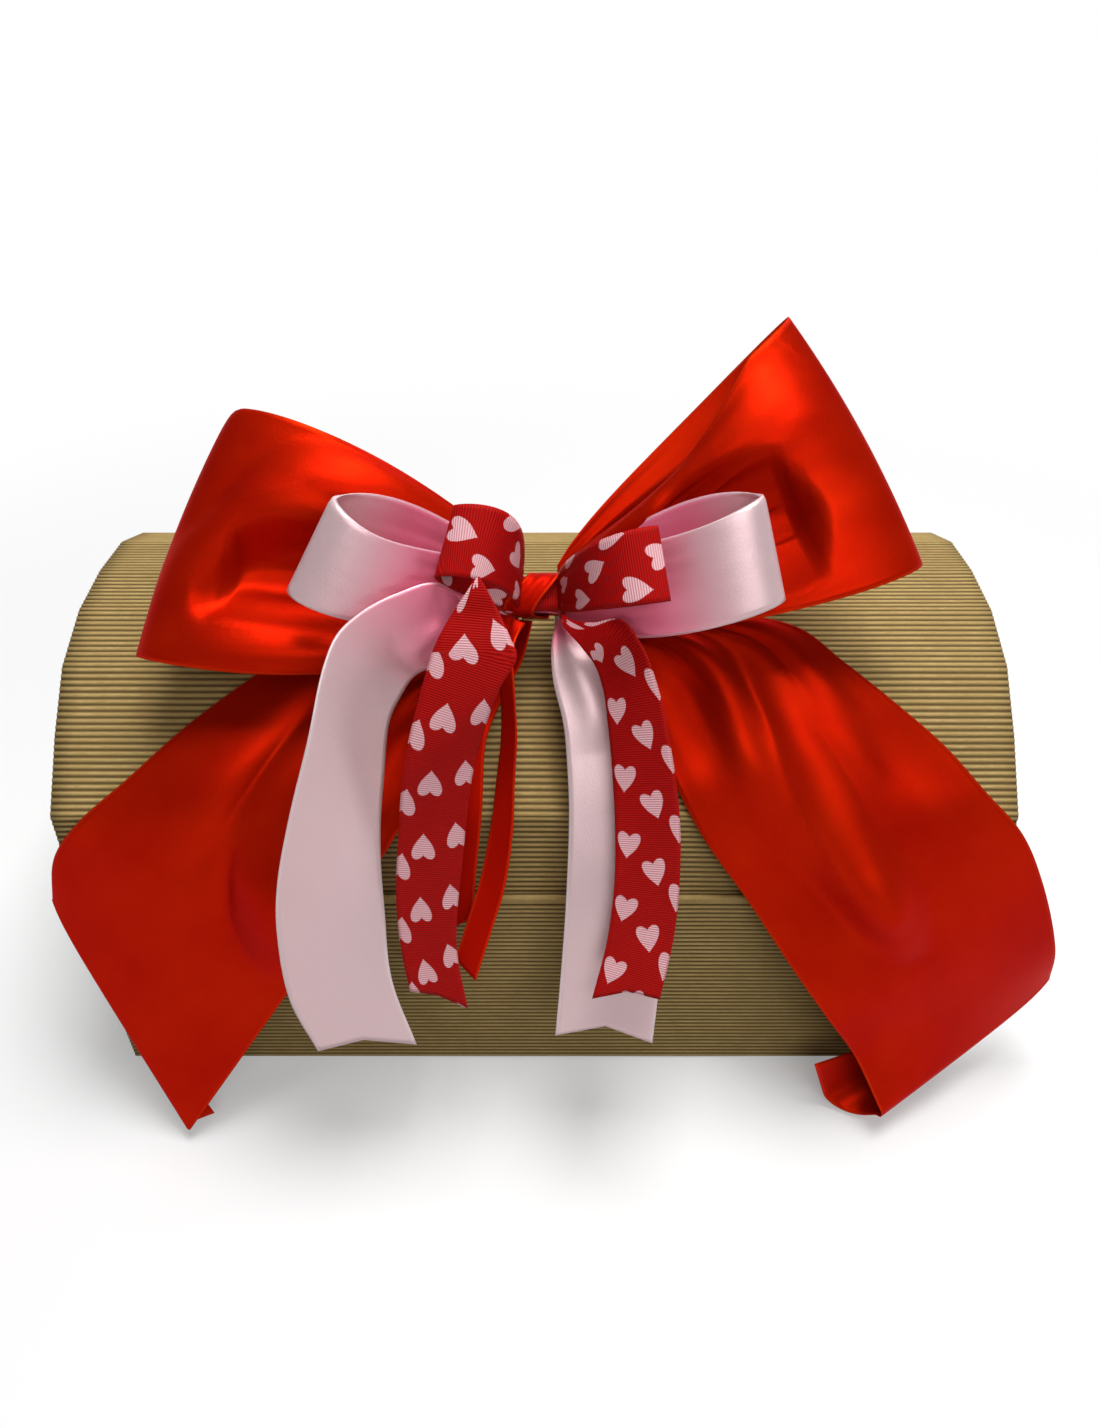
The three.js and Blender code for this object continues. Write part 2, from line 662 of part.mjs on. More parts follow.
// Outline of a rectangle with round corners, centred across and given from low to high
function roundedRect(halfWidth, low, high, radius) {
  const corners = [
    [halfWidth - radius, low + radius, -90],
    [halfWidth - radius, high - radius, 0],
    [radius - halfWidth, high - radius, 90],
    [radius - halfWidth, low + radius, 180],
  ];
  return corners.flatMap(([x, y, start]) => [0, 30, 60, 90].map((step) => {
    const angle = THREE.MathUtils.degToRad(start + step);
    return [x + radius * Math.cos(angle), y + radius * Math.sin(angle)];
  }));
}

// Depth of the stack: the tie's turn lies round the three gathers, with room behind for the wire
const layerStep = GATHER_THICKNESS + FIT_GAP;
const wrapRear = -layerStep - GATHER_THICKNESS / 2 - WIRE_DIAMETER - 2 * WIRE_CLEARANCE;
const wrapFront = layerStep + GATHER_THICKNESS / 2 + FIT_GAP;
const wrapHalf = GATHER_HEIGHT / 2 + FIT_GAP;

// A gathered neck, drawn in section and run along X
function gather(layer) {
  const [low, high] = [layer - GATHER_THICKNESS / 2, layer + GATHER_THICKNESS / 2];
  const section = roundedRect(GATHER_HEIGHT / 2, low, high, GATHER_ROUND);
  return extrudeX(section, -GATHER_LENGTH / 2, GATHER_LENGTH / 2);
}

function tieWrap() {
  const inner = roundedRect(wrapHalf, wrapRear, wrapFront, GATHER_ROUND + FIT_GAP);
  const outer = roundedRect(
    wrapHalf + RIBBON_THICKNESS,
    wrapRear - RIBBON_THICKNESS,
    wrapFront + RIBBON_THICKNESS,
    GATHER_ROUND + FIT_GAP + RIBBON_THICKNESS,
  );
  const shape = shapeOf(outer);
  shape.holes.push(new THREE.Path(inner.map(([x, y]) => new THREE.Vector2(x, y))));
  const geometry = new THREE.ExtrudeGeometry(shape, { depth: TIE_RIBBON, bevelEnabled: false });
  return geometry.applyMatrix4(ALONG_X).translate(-TIE_RIBBON / 2, 0, 0);
}

// The wire: behind the gathers, down through the lid's two holes and flat along its inside
function wire() {
  const start = new THREE.Vector3(0, 0, wrapRear + WIRE_CLEARANCE + WIRE_DIAMETER / 2);
  const seat = bow.worldToLocal(new THREE.Vector3(KNOT_RIGHT, ...wireSeat));
  const down = seat.clone().sub(start).normalize();
  const inside = seat.distanceTo(start) + skin + BACKING + WIRE_CLEARANCE + WIRE_DIAMETER;
  const half = [
    [wireReach + WIRE_TAIL, inside],
    [wireReach + 2 * WIRE_DIAMETER, inside],
    [wireReach, inside - 2 * WIRE_DIAMETER],
    [wireReach, 2 * WIRE_DIAMETER],
    [wireReach - WIRE_DIAMETER, 0],
  ];
  const route = [...half.map(([x, depth]) => [-x, depth]), [0, 0], ...half.toReversed()];
  const points = route.map(([x, depth]) => start.clone().addScaledVector(down, depth).setX(x));
  const path = new THREE.CatmullRomCurve3(points, false, "catmullrom", 0.3);
  const section = Array.from({ length: 6 }, (_, i) => {
    const angle = i * Math.PI / 3;
    return [WIRE_DIAMETER / 2 * Math.cos(angle), WIRE_DIAMETER / 2 * Math.sin(angle)];
  });
  return new THREE.ExtrudeGeometry(shapeOf(section), { steps: 48, extrudePath: path, bevelEnabled: false });
}

// The three ribbons of the bow, from the lid outwards
const ribbons = [
  {
    name: "wide_ribbon",
    color: RED_SATIN,
    form: {
      width: WIDE_RIBBON,
      layer: -layerStep,
      rootGap: 1.1,
      columns: 8,
      steps: 22,
      pinch: 0.08,
      bulge: 3,
      pleat: 1.5,
      crown: 2,
    },
    loops: WIDE_LOOPS,
    tails: WIDE_TAILS,
  },
  {
    name: "pink_ribbon",
    color: PINK_SATIN,
    form: { width: PINK_RIBBON, layer: 0, rootGap: 1.5, columns: 4, steps: 18, pinch: 0.3, bulge: 0 },
    loops: PINK_LOOPS,
    tails: PINK_TAILS,
  },
  {
    name: "heart_ribbon",
    color: HEART_RED,
    form: {
      width: HEART_RIBBON,
      layer: layerStep,
      rootGap: 2,
      columns: 2,
      steps: 18,
      pinch: 0.4,
      bulge: 0,
    },
    loops: HEART_LOOPS,
    tails: HEART_TAILS,
  },
];

for (const { name, color, form, loops, tails } of ribbons) {
  for (const [side, sign] of [["left", -1], ["right", 1]]) {
    const loop = clothSolid(loopRows(form, loops[side]), RIBBON_THICKNESS);
    addMesh(bow, `${name}_loop_${side}`, loop, color, 0.35);
    const { stations, curl, ...tail } = tails[side];
    const edges = stations ? selvedgesOf(form.width, stations) : {
      left: tail.left.map((point) => new THREE.Vector3(...point)),
      right: tail.right.map((point) => new THREE.Vector3(...point)),
    };
    const rows = tailRows(form, edges, tail);
    const ended = curl ? curledUnder(rows, sign, curl) : rows;
    addMesh(bow, `${name}_tail_${side}`, clothSolid(ended, RIBBON_THICKNESS), color, 0.35);
  }
  addMesh(bow, `${name}_gather`, gather(form.layer), color, 0.5);
}

addMesh(bow, "tie_wrap", tieWrap(), RED_SATIN, 0.35);
for (const [place, strand] of Object.entries(TIE_TAILS)) {
  const rows = tailRows({ columns: 1, steps: 18 }, selvedgesOf(TIE_RIBBON, strand.stations), strand);
  addMesh(bow, `tie_strand_${place}`, clothSolid(rows, RIBBON_THICKNESS), RED_SATIN, 0.35);
}
addMesh(bow, "bow_wire", wire(), STEEL_WIRE, 0.3, 1);

export default object;
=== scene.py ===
import math

import bmesh
import bpy
import numpy as np
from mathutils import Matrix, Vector


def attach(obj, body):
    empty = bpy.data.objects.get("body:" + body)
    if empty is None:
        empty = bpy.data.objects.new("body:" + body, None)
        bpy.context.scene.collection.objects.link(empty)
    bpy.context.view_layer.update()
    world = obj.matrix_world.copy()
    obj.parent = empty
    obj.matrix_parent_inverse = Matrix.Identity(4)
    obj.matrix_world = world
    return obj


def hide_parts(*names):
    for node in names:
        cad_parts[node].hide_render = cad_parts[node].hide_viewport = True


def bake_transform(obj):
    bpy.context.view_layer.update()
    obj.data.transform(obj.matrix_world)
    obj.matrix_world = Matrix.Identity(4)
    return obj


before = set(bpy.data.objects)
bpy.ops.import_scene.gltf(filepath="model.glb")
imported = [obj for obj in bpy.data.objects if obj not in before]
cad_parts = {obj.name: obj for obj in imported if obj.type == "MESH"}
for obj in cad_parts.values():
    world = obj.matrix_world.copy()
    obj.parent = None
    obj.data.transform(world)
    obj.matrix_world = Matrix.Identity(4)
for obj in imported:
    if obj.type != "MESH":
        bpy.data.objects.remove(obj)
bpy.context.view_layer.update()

# Camera: where the picture was taken from, close above the front of the box and looking down
# on it, with a lens of normal length.
CAMERA_PLACE = (0.006, -0.401, 0.4416)
CAMERA_TILT = 51.17
CAMERA_LENS = 27.73

camera_data = bpy.data.cameras.new("camera")
camera_data.sensor_width = 36
camera_data.lens = CAMERA_LENS
camera = bpy.data.objects.new("camera", camera_data)
camera.location = CAMERA_PLACE
camera.rotation_euler = (math.radians(CAMERA_TILT), 0, 0)
bpy.context.scene.collection.objects.link(camera)
bpy.context.scene.camera = camera

# Flat boards of the base and lid: brown kraft liner paper glued to the flutes, creased and
# folded into the tray, the curved cover and the end panels. Matt, with short fibres and specks.
KRAFT = (0.375, 0.255, 0.090, 1)
KRAFT_LINER = (0.31, 0.21, 0.078, 1)
KRAFT_PALE = (0.47, 0.34, 0.135, 1)
KRAFT_DARK = (0.21, 0.135, 0.045, 1)


class Amount:
    """A value worked out by a finish's nodes, joined to numbers and amounts by + - * / and **."""

    def __init__(self, finish, socket):
        self.finish = finish
        self.socket = socket

    def math(self, operation, *numbers):
        return self.finish.node("ShaderNodeMath", {"operation": operation}, dict(enumerate(numbers)))

    def __add__(self, other):
        return self.math("ADD", self, other)

    def __sub__(self, other):
        return self.math("SUBTRACT", self, other)

    def __mul__(self, other):
        return self.math("MULTIPLY", self, other)

    def __truediv__(self, other):
        return self.math("DIVIDE", self, other)

    def __pow__(self, other):
        return self.math("POWER", self, other)

    def __radd__(self, other):
        return self.math("ADD", other, self)

    def __rsub__(self, other):
        return self.math("SUBTRACT", other, self)

    def __rmul__(self, other):
        return self.math("MULTIPLY", other, self)

    def absolute(self):
        return self.math("ABSOLUTE", self)

    def below(self, limit, blur):
        """1 well under the limit and 0 well over it, with an edge of that width."""
        return self.math("SMOOTH_MIN", self.math("MAXIMUM", (limit - self) / blur + 0.5, 0), 1, 0.1)

    def above(self, limit, blur):
        return 1 - self.below(limit, blur)


class Finish:
    """One material: a Principled shader with fixed settings, and the nodes that vary it."""

    def __init__(self, name, **fixed):
        self.material = bpy.data.materials.new(name)
        self.material.use_nodes = True
        self.tree = self.material.node_tree
        self.shader = self.tree.nodes["Principled BSDF"]
        for setting, value in fixed.items():
            self.shader.inputs[setting.replace("_", " ")].default_value = value

    def node(self, kind, settings=None, inputs=None, output=0):
        made = self.tree.nodes.new(kind)
        for setting, value in (settings or {}).items():
            setattr(made, setting, value)
        for place, value in (inputs or {}).items():
            if isinstance(value, Amount):
                self.tree.links.new(value.socket, made.inputs[place])
            else:
                made.inputs[place].default_value = value
        return Amount(self, made.outputs[output])

    def place(self, kind="Object"):
        return self.node("ShaderNodeTexCoord", output=kind)

    def stretched(self, where, scale):
        return self.node("ShaderNodeMapping", {}, {"Vector": where, "Scale": scale})

    def noise(self, where, scale, detail=3, rough=0.5):
        inputs = {"Vector": where, "Scale": scale, "Detail": detail, "Roughness": rough}
        return self.node("ShaderNodeTexNoise", {}, inputs)

    def parts(self, where):
        return [self.node("ShaderNodeSeparateXYZ", {}, {0: where}, axis) for axis in range(3)]

    def blend(self, share, first, second):
        """The first colour where the share is 0, and the second where it is 1."""
        colours = {0: share, 6: first, 7: second}
        return self.node("ShaderNodeMix", {"data_type": "RGBA"}, colours, 2)

    def give(self, **varying):
        for setting, value in varying.items():
            self.tree.links.new(value.socket, self.shader.inputs[setting.replace("_", " ")])

    def ramp(self, value, start, finish):
        """0 up to the start, 1 from the finish on, and smooth between them."""
        settings = {"interpolation_type": "SMOOTHSTEP"}
        return self.node("ShaderNodeMapRange", settings, {0: value, 1: start, 2: finish, 3: 0.0, 4: 1.0})

    def relief(self, *layers):
        """Bumps of (height, strength, depth in metres), the broadest first."""
        normal = None
        for height, strength, depth in layers:
            inputs = {"Height": height, "Strength": strength, "Distance": depth}
            if normal:
                inputs["Normal"] = normal
            normal = self.node("ShaderNodeBump", {}, inputs)
        self.give(Normal=normal)


def kraft_finish(name, grain):
    """Kraft paper with its fibres along grain, the stretch of the fibre noise in X, Y and Z."""
    paper = Finish(name, Roughness=0.88, Specular_IOR_Level=0.25)
    where = paper.place()
    cloudy = paper.noise(where, 42, 4, 0.6)
    fibres = paper.noise(paper.stretched(where, grain), 1900, 3, 0.65)
    fine = paper.noise(where, 2600, 2, 0.6)
    specks = paper.noise(where, 900, 1).above(0.71, 0.03)
    dark = paper.blend(cloudy * 1.1 - 0.1, KRAFT_LINER, KRAFT)
    pale = paper.blend(fibres.above(0.56, 0.16) * 0.45, dark, KRAFT_PALE)
    brown = paper.blend(fine.below(0.44, 0.12) * 0.35, pale, KRAFT_DARK)
    paper.give(Base_Color=paper.blend(specks * 0.35, brown, KRAFT_DARK))
    paper.give(Roughness=fibres * 0.12 + 0.80)
    paper.relief((fibres, 0.35, 0.00008), (fine, 0.3, 0.00004))
    return paper.material


kraft_along = kraft_finish("kraft liner, grain along", (0.18, 1, 1))
kraft_upright = kraft_finish("kraft liner, grain upright", (1, 0.3, 0.3))


def dress(node, material):
    """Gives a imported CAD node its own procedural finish."""
    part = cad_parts[node]
    part.data.materials.clear()
    part.data.materials.append(material)


for node in ("base_sheet", "lid_sheet"):
    dress(node, kraft_along)
for node in ("base_end_left", "base_end_right", "lid_end_left", "lid_end_right"):
    dress(node, kraft_upright)

# Fluting: the wavy kraft paper glued to the outside of every board, its flutes left open to
# view. It is crushed flat at each crease, and handling leaves the flutes a little uneven.
BOX_LENGTH = 0.370
BOX_DEPTH = 0.210
BASE_HEIGHT = 0.109
FLUTE_PITCH = 0.002564
FLUTE_HEIGHT = 0.0008
FLUTE_PAPER = 0.0002
SKIN = 0.0009
FLUTE_FACETS = [(12, 44.1), (11, 37.6), (11, 17.9), (11, 3.3), (11, -5), (11, -21), (11, -38), (12, -46)]
FRONT_CREASE = (-0.0986, 0.1477)
BACK_CREASE = (0.0989, 0.1446)
LIP_RIM = (-0.1016, 0.1090)
LIP_FOOT = (-0.1004, 0.0890)
LID_FOOT = 0.1097
RIM_BAND = 0.0042
LIP_CORNER = 0.0034
END_CREST = 0.1845
END_FRONT = -0.1021
END_BACK = 0.1028
END_FOOT = 0.0023
SHEET_EDGE = 0.0003
# Painted shade: a darker fluting tone, used only on the base's front wall, which faces away from the
# overhead light.
KRAFT_FRONT_PAINTED_SHADE = (0.225, 0.147, 0.050, 1)
FLUTE_SHADE = (0.055, 0.032, 0.008, 1)

half_length = BOX_LENGTH / 2
half_depth = BOX_DEPTH / 2


def cover_line():
    """Creases of the lid's cover in Y and Z with the flutes counted up to each of them."""
    slopes = [math.radians(slope) for _, slope in FLUTE_FACETS]
    flutes = [count for count, _ in FLUTE_FACETS]
    run = sum(n * math.cos(a) for n, a in zip(flutes, slopes))
    rise = sum(n * math.sin(a) for n, a in zip(flutes, slopes))
    span = BACK_CREASE[0] - FRONT_CREASE[0]
    step = span / run
    settle = (BACK_CREASE[1] - FRONT_CREASE[1] - rise * step) / span
    y, z = FRONT_CREASE
    line = [(y, z, 0)]
    for n, a in zip(flutes, slopes):
        across = n * step * math.cos(a)
        y, z = y + across, z + n * step * math.sin(a) + across * settle
        line.append((y, z, line[-1][2] + n))
    return line


cover = cover_line()


def flute_tree(material):
    """Geometry Nodes: rows of flutes between the two edges that a profile carries."""
    tree = bpy.data.node_groups.new("open flutes", "GeometryNodeTree")
    face = tree.interface
    face.new_socket("Geometry", in_out="INPUT", socket_type="NodeSocketGeometry")
    for label, value in (
        ("Pitch", FLUTE_PITCH),
        ("Height", FLUTE_HEIGHT - FLUTE_PAPER),
        ("Wander", 0.10),
        ("Crush", 0.22),
    ):
        face.new_socket(label, in_out="INPUT", socket_type="NodeSocketFloat").default_value = value
    for label, value in (("Rows per flute", 8), ("Steps along", 44), ("Seed", 5)):
        face.new_socket(label, in_out="INPUT", socket_type="NodeSocketInt").default_value = value
    face.new_socket("Geometry", in_out="OUTPUT", socket_type="NodeSocketGeometry")

    def add(kind, settings=None, inputs=None):
        made = tree.nodes.new(kind)
        for setting, value in (settings or {}).items():
            setattr(made, setting, value)
        for place, value in (inputs or {}).items():
            if isinstance(value, bpy.types.NodeSocket):
                tree.links.new(value, made.inputs[place])
            else:
                made.inputs[place].default_value = value
        return made

    def sums(operation, first, second=0.0, third=None):
        inputs = {0: first, 1: second}
        if third is not None:
            inputs[2] = third
        return add("ShaderNodeMath", {"operation": operation}, inputs).outputs[0]

    def vectors(operation, first, second=None, scale=None):
        inputs = {0: first}
        if second is not None:
            inputs[1] = second
        if scale is not None:
            inputs["Scale"] = scale
        made = add("ShaderNodeVectorMath", {"operation": operation}, inputs)
        return made.outputs[0]

    given = add("NodeGroupInput").outputs
    line = add("GeometryNodeMeshToCurve", {}, {0: given["Geometry"]}).outputs[0]
    spacing = sums("DIVIDE", given["Pitch"], given["Rows per flute"])
    resampled = add("GeometryNodeResampleCurve", {"mode": "LENGTH"}, {"Curve": line, "Length": spacing})
    fine = resampled.outputs[0]
    rows = add("GeometryNodeAttributeDomainSize", {"component": "CURVE"}, {0: fine}).outputs["Point Count"]
    across = sums("ADD", given["Steps along"], 1)
    grid_size = {"Size X": 1, "Size Y": 1, "Vertices X": across, "Vertices Y": rows}
    grid = add("GeometryNodeMeshGrid", {}, grid_size).outputs["Mesh"]
    spot = add("GeometryNodeInputPosition").outputs[0]
    split = add("ShaderNodeSeparateXYZ", {}, {0: spot}).outputs
    share = sums("ADD", split["X"], 0.5)
    row = sums("MULTIPLY", sums("ADD", split["Y"], 0.5), sums("SUBTRACT", rows, 1))
    row = sums("ROUND", row)

    def carried(name, kind):
        named = add("GeometryNodeInputNamedAttribute", {"data_type": kind}, {"Name": name}).outputs[0]
        return sampled(named, kind)

    def sampled(field, kind):
        settings = {"data_type": kind, "domain": "POINT"}
        made = add("GeometryNodeSampleIndex", settings, {"Geometry": fine, "Index": row})
        tree.links.new(field, made.inputs["Value"])
        return made.outputs[0]

    start = carried("from_edge", "FLOAT_VECTOR")
    finish = carried("to_edge", "FLOAT_VECTOR")
    flute = carried("flute", "FLOAT")
    tangent = sampled(add("GeometryNodeInputTangent").outputs[0], "FLOAT_VECTOR")
    along = vectors("SUBTRACT", finish, start)
    outward = vectors("NORMALIZE", vectors("CROSS_PRODUCT", along, tangent))
    place = vectors("ADD", start, vectors("SCALE", along, scale=share))

    def drift(scale, seed_step, detail=1.0):
        shift = add("ShaderNodeCombineXYZ", {}, {0: sums("MULTIPLY", given["Seed"], seed_step)}).outputs[0]
        inputs = {"Vector": vectors("ADD", place, shift), "Scale": scale, "Detail": detail}
        made = add("ShaderNodeTexNoise", {}, inputs)
        return sums("SUBTRACT", made.outputs["Fac"], 0.5)

    wander = sums("MULTIPLY", drift(22, 0.731), given["Wander"])
    phase = sums("MULTIPLY", sums("ADD", flute, wander), 2 * math.pi)
    wave = sums("MULTIPLY_ADD", sums("COSINE", phase), -0.5, 0.5)
    round_top = sums("POWER", sums("MAXIMUM", wave, 0.0), 0.72)
    uneven = sums("MULTIPLY_ADD", drift(60, 1.37, 2.0), given["Crush"], 1 - 0.11)
    height = sums("MULTIPLY", sums("MULTIPLY", round_top, uneven), given["Height"])
    lift = sums("SUBTRACT", height, given["Height"])
    marked = add(
        "GeometryNodeStoreNamedAttribute",
        {"data_type": "FLOAT", "domain": "POINT"},
        {"Geometry": grid, "Name": "crest", "Value": round_top},
    ).outputs[0]
    shaped = add(
        "GeometryNodeSetPosition",
        {},
        {"Geometry": marked, "Position": vectors("ADD", place, vectors("SCALE", outward, scale=lift))},
    ).outputs[0]
    smooth = add("GeometryNodeSetShadeSmooth", {}, {0: shaped}).outputs[0]
    real = add("GeometryNodeRealizeInstances", {}, {0: smooth}).outputs[0]
    coated = add("GeometryNodeSetMaterial", {}, {"Geometry": real, "Material": material}).outputs[0]
    add("NodeGroupOutput", {}, {0: coated})
    return tree


def fluting_finish(name, grain, tone=KRAFT):
    """Kraft fluting medium: paler worn crests, and painted shade down in the valleys."""
    paper = Finish(name, Roughness=0.86, Specular_IOR_Level=0.25)
    where = paper.place()
    crest = paper.node("ShaderNodeAttribute", {"attribute_name": "crest"}, output="Fac")
    cloudy = paper.noise(where, 30, 4, 0.6)
    fibres = paper.noise(paper.stretched(where, grain), 1500, 3, 0.65)
    fine = paper.noise(where, 2600, 2, 0.6)
    rubbed = paper.noise(where, 75, 4, 0.65).above(0.54, 0.12)
    brown = paper.blend(cloudy, [part * 0.82 for part in tone[:3]] + [1], tone)
    flecked = paper.blend(fibres.above(0.55, 0.18) * 0.35, brown, KRAFT_PALE)
    worn = paper.blend(crest.above(0.80, 0.25) * rubbed * 0.5, flecked, KRAFT_PALE)
    # Painted shade: the flute valleys are coloured darker where the light doesn't reach them.
    shaded = paper.blend(crest.below(0.50, 0.60) * 0.85, worn, FLUTE_SHADE)
    paper.give(Base_Color=paper.blend(fine.below(0.42, 0.10) * 0.25, shaded, KRAFT_DARK))
    paper.give(Roughness=fibres * 0.12 + 0.78)
    paper.relief((fibres, 0.4, 0.00008), (fine, 0.3, 0.00004))
    return paper.material


fluting_along = fluting_finish("kraft fluting", (0.16, 1, 1))
fluting_ends = fluting_finish("kraft fluting, ends", (1, 0.16, 1))
# A copy of the fluting with painted shade: the darker tone for the base's front wall only.
fluting_front_painted_shade = fluting_finish("kraft fluting, base front, painted shade", (0.16, 1, 1), KRAFT_FRONT_PAINTED_SHADE)
flute_trees = {False: flute_tree(fluting_along), True: flute_tree(fluting_ends)}


def link(piece):
    bpy.context.scene.collection.objects.link(piece)
    return piece


def only_mesh(piece):
    """The piece with its modifiers worked into a plain mesh."""
    shown = piece.evaluated_get(bpy.context.evaluated_depsgraph_get())
    mesh = bpy.data.meshes.new_from_object(shown, depsgraph=bpy.context.evaluated_depsgraph_get())
    piece.modifiers.clear()
    piece.data = mesh
    mesh.name = piece.name
    return piece


def fluted(name, profile, body, node, seed, ends=False):
    """Fluting over a profile of (from edge, to edge, flute count) rows."""
    mesh = bpy.data.meshes.new(name)
    middle = [[(a + b) / 2 for a, b in zip(start, finish)] for start, finish, _ in profile]
    mesh.from_pydata(middle, [(i, i + 1) for i in range(len(profile) - 1)], [])
    for label, index in (("from_edge", 0), ("to_edge", 1)):
        layer = mesh.attributes.new(label, "FLOAT_VECTOR", "POINT")
        layer.data.foreach_set("vector", [x for row in profile for x in row[index]])
    mesh.attributes.new("flute", "FLOAT", "POINT").data.foreach_set("value", [row[2] for row in profile])
    piece = link(bpy.data.objects.new(name, mesh))
    grown = piece.modifiers.new("flutes", "NODES")
    grown.node_group = flute_trees[ends]
    sockets = grown.node_group.interface.items_tree
    socket = {item.name: item.identifier for item in sockets if item.in_out == "INPUT"}
    grown[socket["Seed"]] = seed
    grown[socket["Steps along"]] = 30 if ends else 44
    only_mesh(piece)
    wall = piece.modifiers.new("paper", "SOLIDIFY")
    wall.thickness = FLUTE_PAPER
    wall.offset = -1
    only_mesh(piece)
    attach(piece, body)
    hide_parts(node)
    return piece


def rows_along(line, reach=half_length):
    """Rows that run the whole length of the box at each (Y, Z, flute count)."""
    return [((-reach, y, z), (reach, y, z), flute) for y, z, flute in line]


# Flutes on the tucked lip, on the rise from the base's rim to the first crease, on the back and
# on the walls of the base
TUCK_FLUTES = 8
LIP_FLUTES = 15
BACK_FLUTES = 14
FRONT_WALL_FLUTES = 41
WALL_FLUTES = 42

lip_y = LIP_RIM[0] + (FRONT_CREASE[0] - LIP_RIM[0]) * 0.02
tucked = [
    (*LIP_FOOT, -LIP_FLUTES - TUCK_FLUTES), (*LIP_RIM, -LIP_FLUTES), (lip_y, LID_FOOT, -LIP_FLUTES + 0.3),
]
cover_rows = rows_along(tucked, half_length - LIP_CORNER)
cover_rows += rows_along([(lip_y, LID_FOOT + 0.0002, -LIP_FLUTES + 0.4)])
cover_rows += rows_along(cover)
cover_rows += rows_along([(half_depth, LID_FOOT, cover[-1][2] + BACK_FLUTES)])
fluted("cover_flutes", cover_rows, "lid", "lid_fluting", 5)

rim_foot = BASE_HEIGHT - RIM_BAND
front_rows = rows_along(
    [(-half_depth, SHEET_EDGE, 0), (-half_depth, rim_foot - SHEET_EDGE, FRONT_WALL_FLUTES)]
)
front_flutes = fluted("front_wall_flutes", front_rows, "base", "base_front_fluting", 8)
# The front wall takes the darker fluting copy: painted shade.
front_flutes.data.materials[0] = fluting_front_painted_shade
back_rows = rows_along([(half_depth, BASE_HEIGHT, 0), (half_depth, SHEET_EDGE, WALL_FLUTES)])
fluted("back_wall_flutes", back_rows, "base", "base_back_fluting", 11)


def inside_cover(gap):
    """Outline of a lid cheek in Y and Z, that far inside the crest line of the cover."""
    points = [Vector((LIP_RIM[0], LIP_RIM[1]))] + [Vector((y, z)) for y, z, _ in cover]
    points.append(Vector((half_depth, LID_FOOT)))
    moved = []
    for i, point in enumerate(points):
        before = (point - points[i - 1]).normalized() if i else (points[1] - point).normalized()
        after = (points[i + 1] - point).normalized() if i + 1 < len(points) else before
        bend = 1 + before.dot(after)
        sideways = Vector((before.y + after.y, -before.x - after.x))
        moved.append(point + sideways * gap / bend)
    return moved


def depth_at(outline, height):
    """Lowest and highest Y of the cheek's outline at a height."""
    crossings = []
    for a, b in zip(outline, outline[1:]):
        if (a.y - height) * (b.y - height) <= 0 and a.y != b.y:
            crossings.append(a.x + (b.x - a.x) * (height - a.y) / (b.y - a.y))
    return min(crossings), max(crossings)


CHEEK_ROWS = 120
CHEEK_TOP_GAP = 0.0006

cheek = inside_cover(SKIN + 0.0011)
cheek_top = max(point.y for point in cheek) - CHEEK_TOP_GAP
levels = [LID_FOOT + (cheek_top - LID_FOOT) * i / CHEEK_ROWS for i in range(CHEEK_ROWS + 1)]
for side, hand in (("left", -1), ("right", 1)):
    crest = hand * END_CREST
    first, last = (END_FRONT, END_BACK) if hand > 0 else (END_BACK, END_FRONT)
    wall = ((END_FOOT, 0), (BASE_HEIGHT, WALL_FLUTES))
    wall_rows = [((crest, first, z), (crest, last, z), flute) for z, flute in wall]
    fluted(f"end_flutes_{side}", wall_rows, "base", f"base_end_fluting_{side}", 14 + hand, ends=True)
    cheek_rows = []
    for z in levels:
        first, last = depth_at(cheek, z)[::hand]
        cheek_rows.append(((crest, first, z), (crest, last, z), (z - LID_FOOT) / FLUTE_PITCH))
    fluted(f"cheek_flutes_{side}", cheek_rows, "lid", f"lid_end_fluting_{side}", 20 + hand, ends=True)

# Hinge: the back of the box is one sheet, and the lid turns on a crease across it. The flutes
# are crushed flat along the crease, drawn as it lies with the lid shut.
CREASE_REACH = 0.0026
CREASE_STEPS = 16
crease_height = (BASE_HEIGHT + LID_FOOT) / 2


def crushed_crease():
    """A strip of crushed flutes across the back, with its flattened middle and uneven edges."""
    section = []
    for i in range(CREASE_STEPS + 1):
        share = i / CREASE_STEPS * 2 - 1
        y = half_depth - 0.00050 + 0.00022 * abs(share) - 0.00010 * math.cos(share * math.pi * 2)
        section.append((y, crease_height + share * CREASE_REACH))
    columns = 60
    points = []
    for i in range(columns + 1):
        x = -half_length + 0.0008 + (BOX_LENGTH - 0.0016) * i / columns
        points += [(x, y + 0.00005 * math.sin(x * 410 + z * 3000), z) for y, z in section]
    rows = len(section)
    faces = [
        (i * rows + j, (i + 1) * rows + j, (i + 1) * rows + j + 1, i * rows + j + 1)
        for i in range(columns)
        for j in range(rows - 1)
    ]
    mesh = bpy.data.meshes.new("hinge_crease")
    mesh.from_pydata(points, [], faces)
    mesh.materials.append(kraft_along)
    piece = link(bpy.data.objects.new("hinge_crease", mesh))
    for face in mesh.polygons:
        face.use_smooth = True
    wall = piece.modifiers.new("paper", "SOLIDIFY")
    wall.thickness = FLUTE_PAPER
    wall.offset = 0
    return only_mesh(piece)


crease = crushed_crease()
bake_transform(crease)

# Wide ribbon: red satin 100 mm wide, gathered at the knot into two big loops, with two tails
# that flare out over the lid's front. Satin is woven glossy and has a bound edge on each side.
KNOT = Vector((0.002, -0.053, 0.218))
BOW_LEAN = math.radians(51.2)
WIDE = 100
LAYER = 7.2
CLOTH = 0.00035
CLOTH_ROOM = 0.7
NECK_REACH = 7
ROOT_GAP = 0.5
DEEPEST_SINK = 12
LOOP_START = 0.03
LOOP_SWELL = 0.77
LOOP_FAN = 0.55


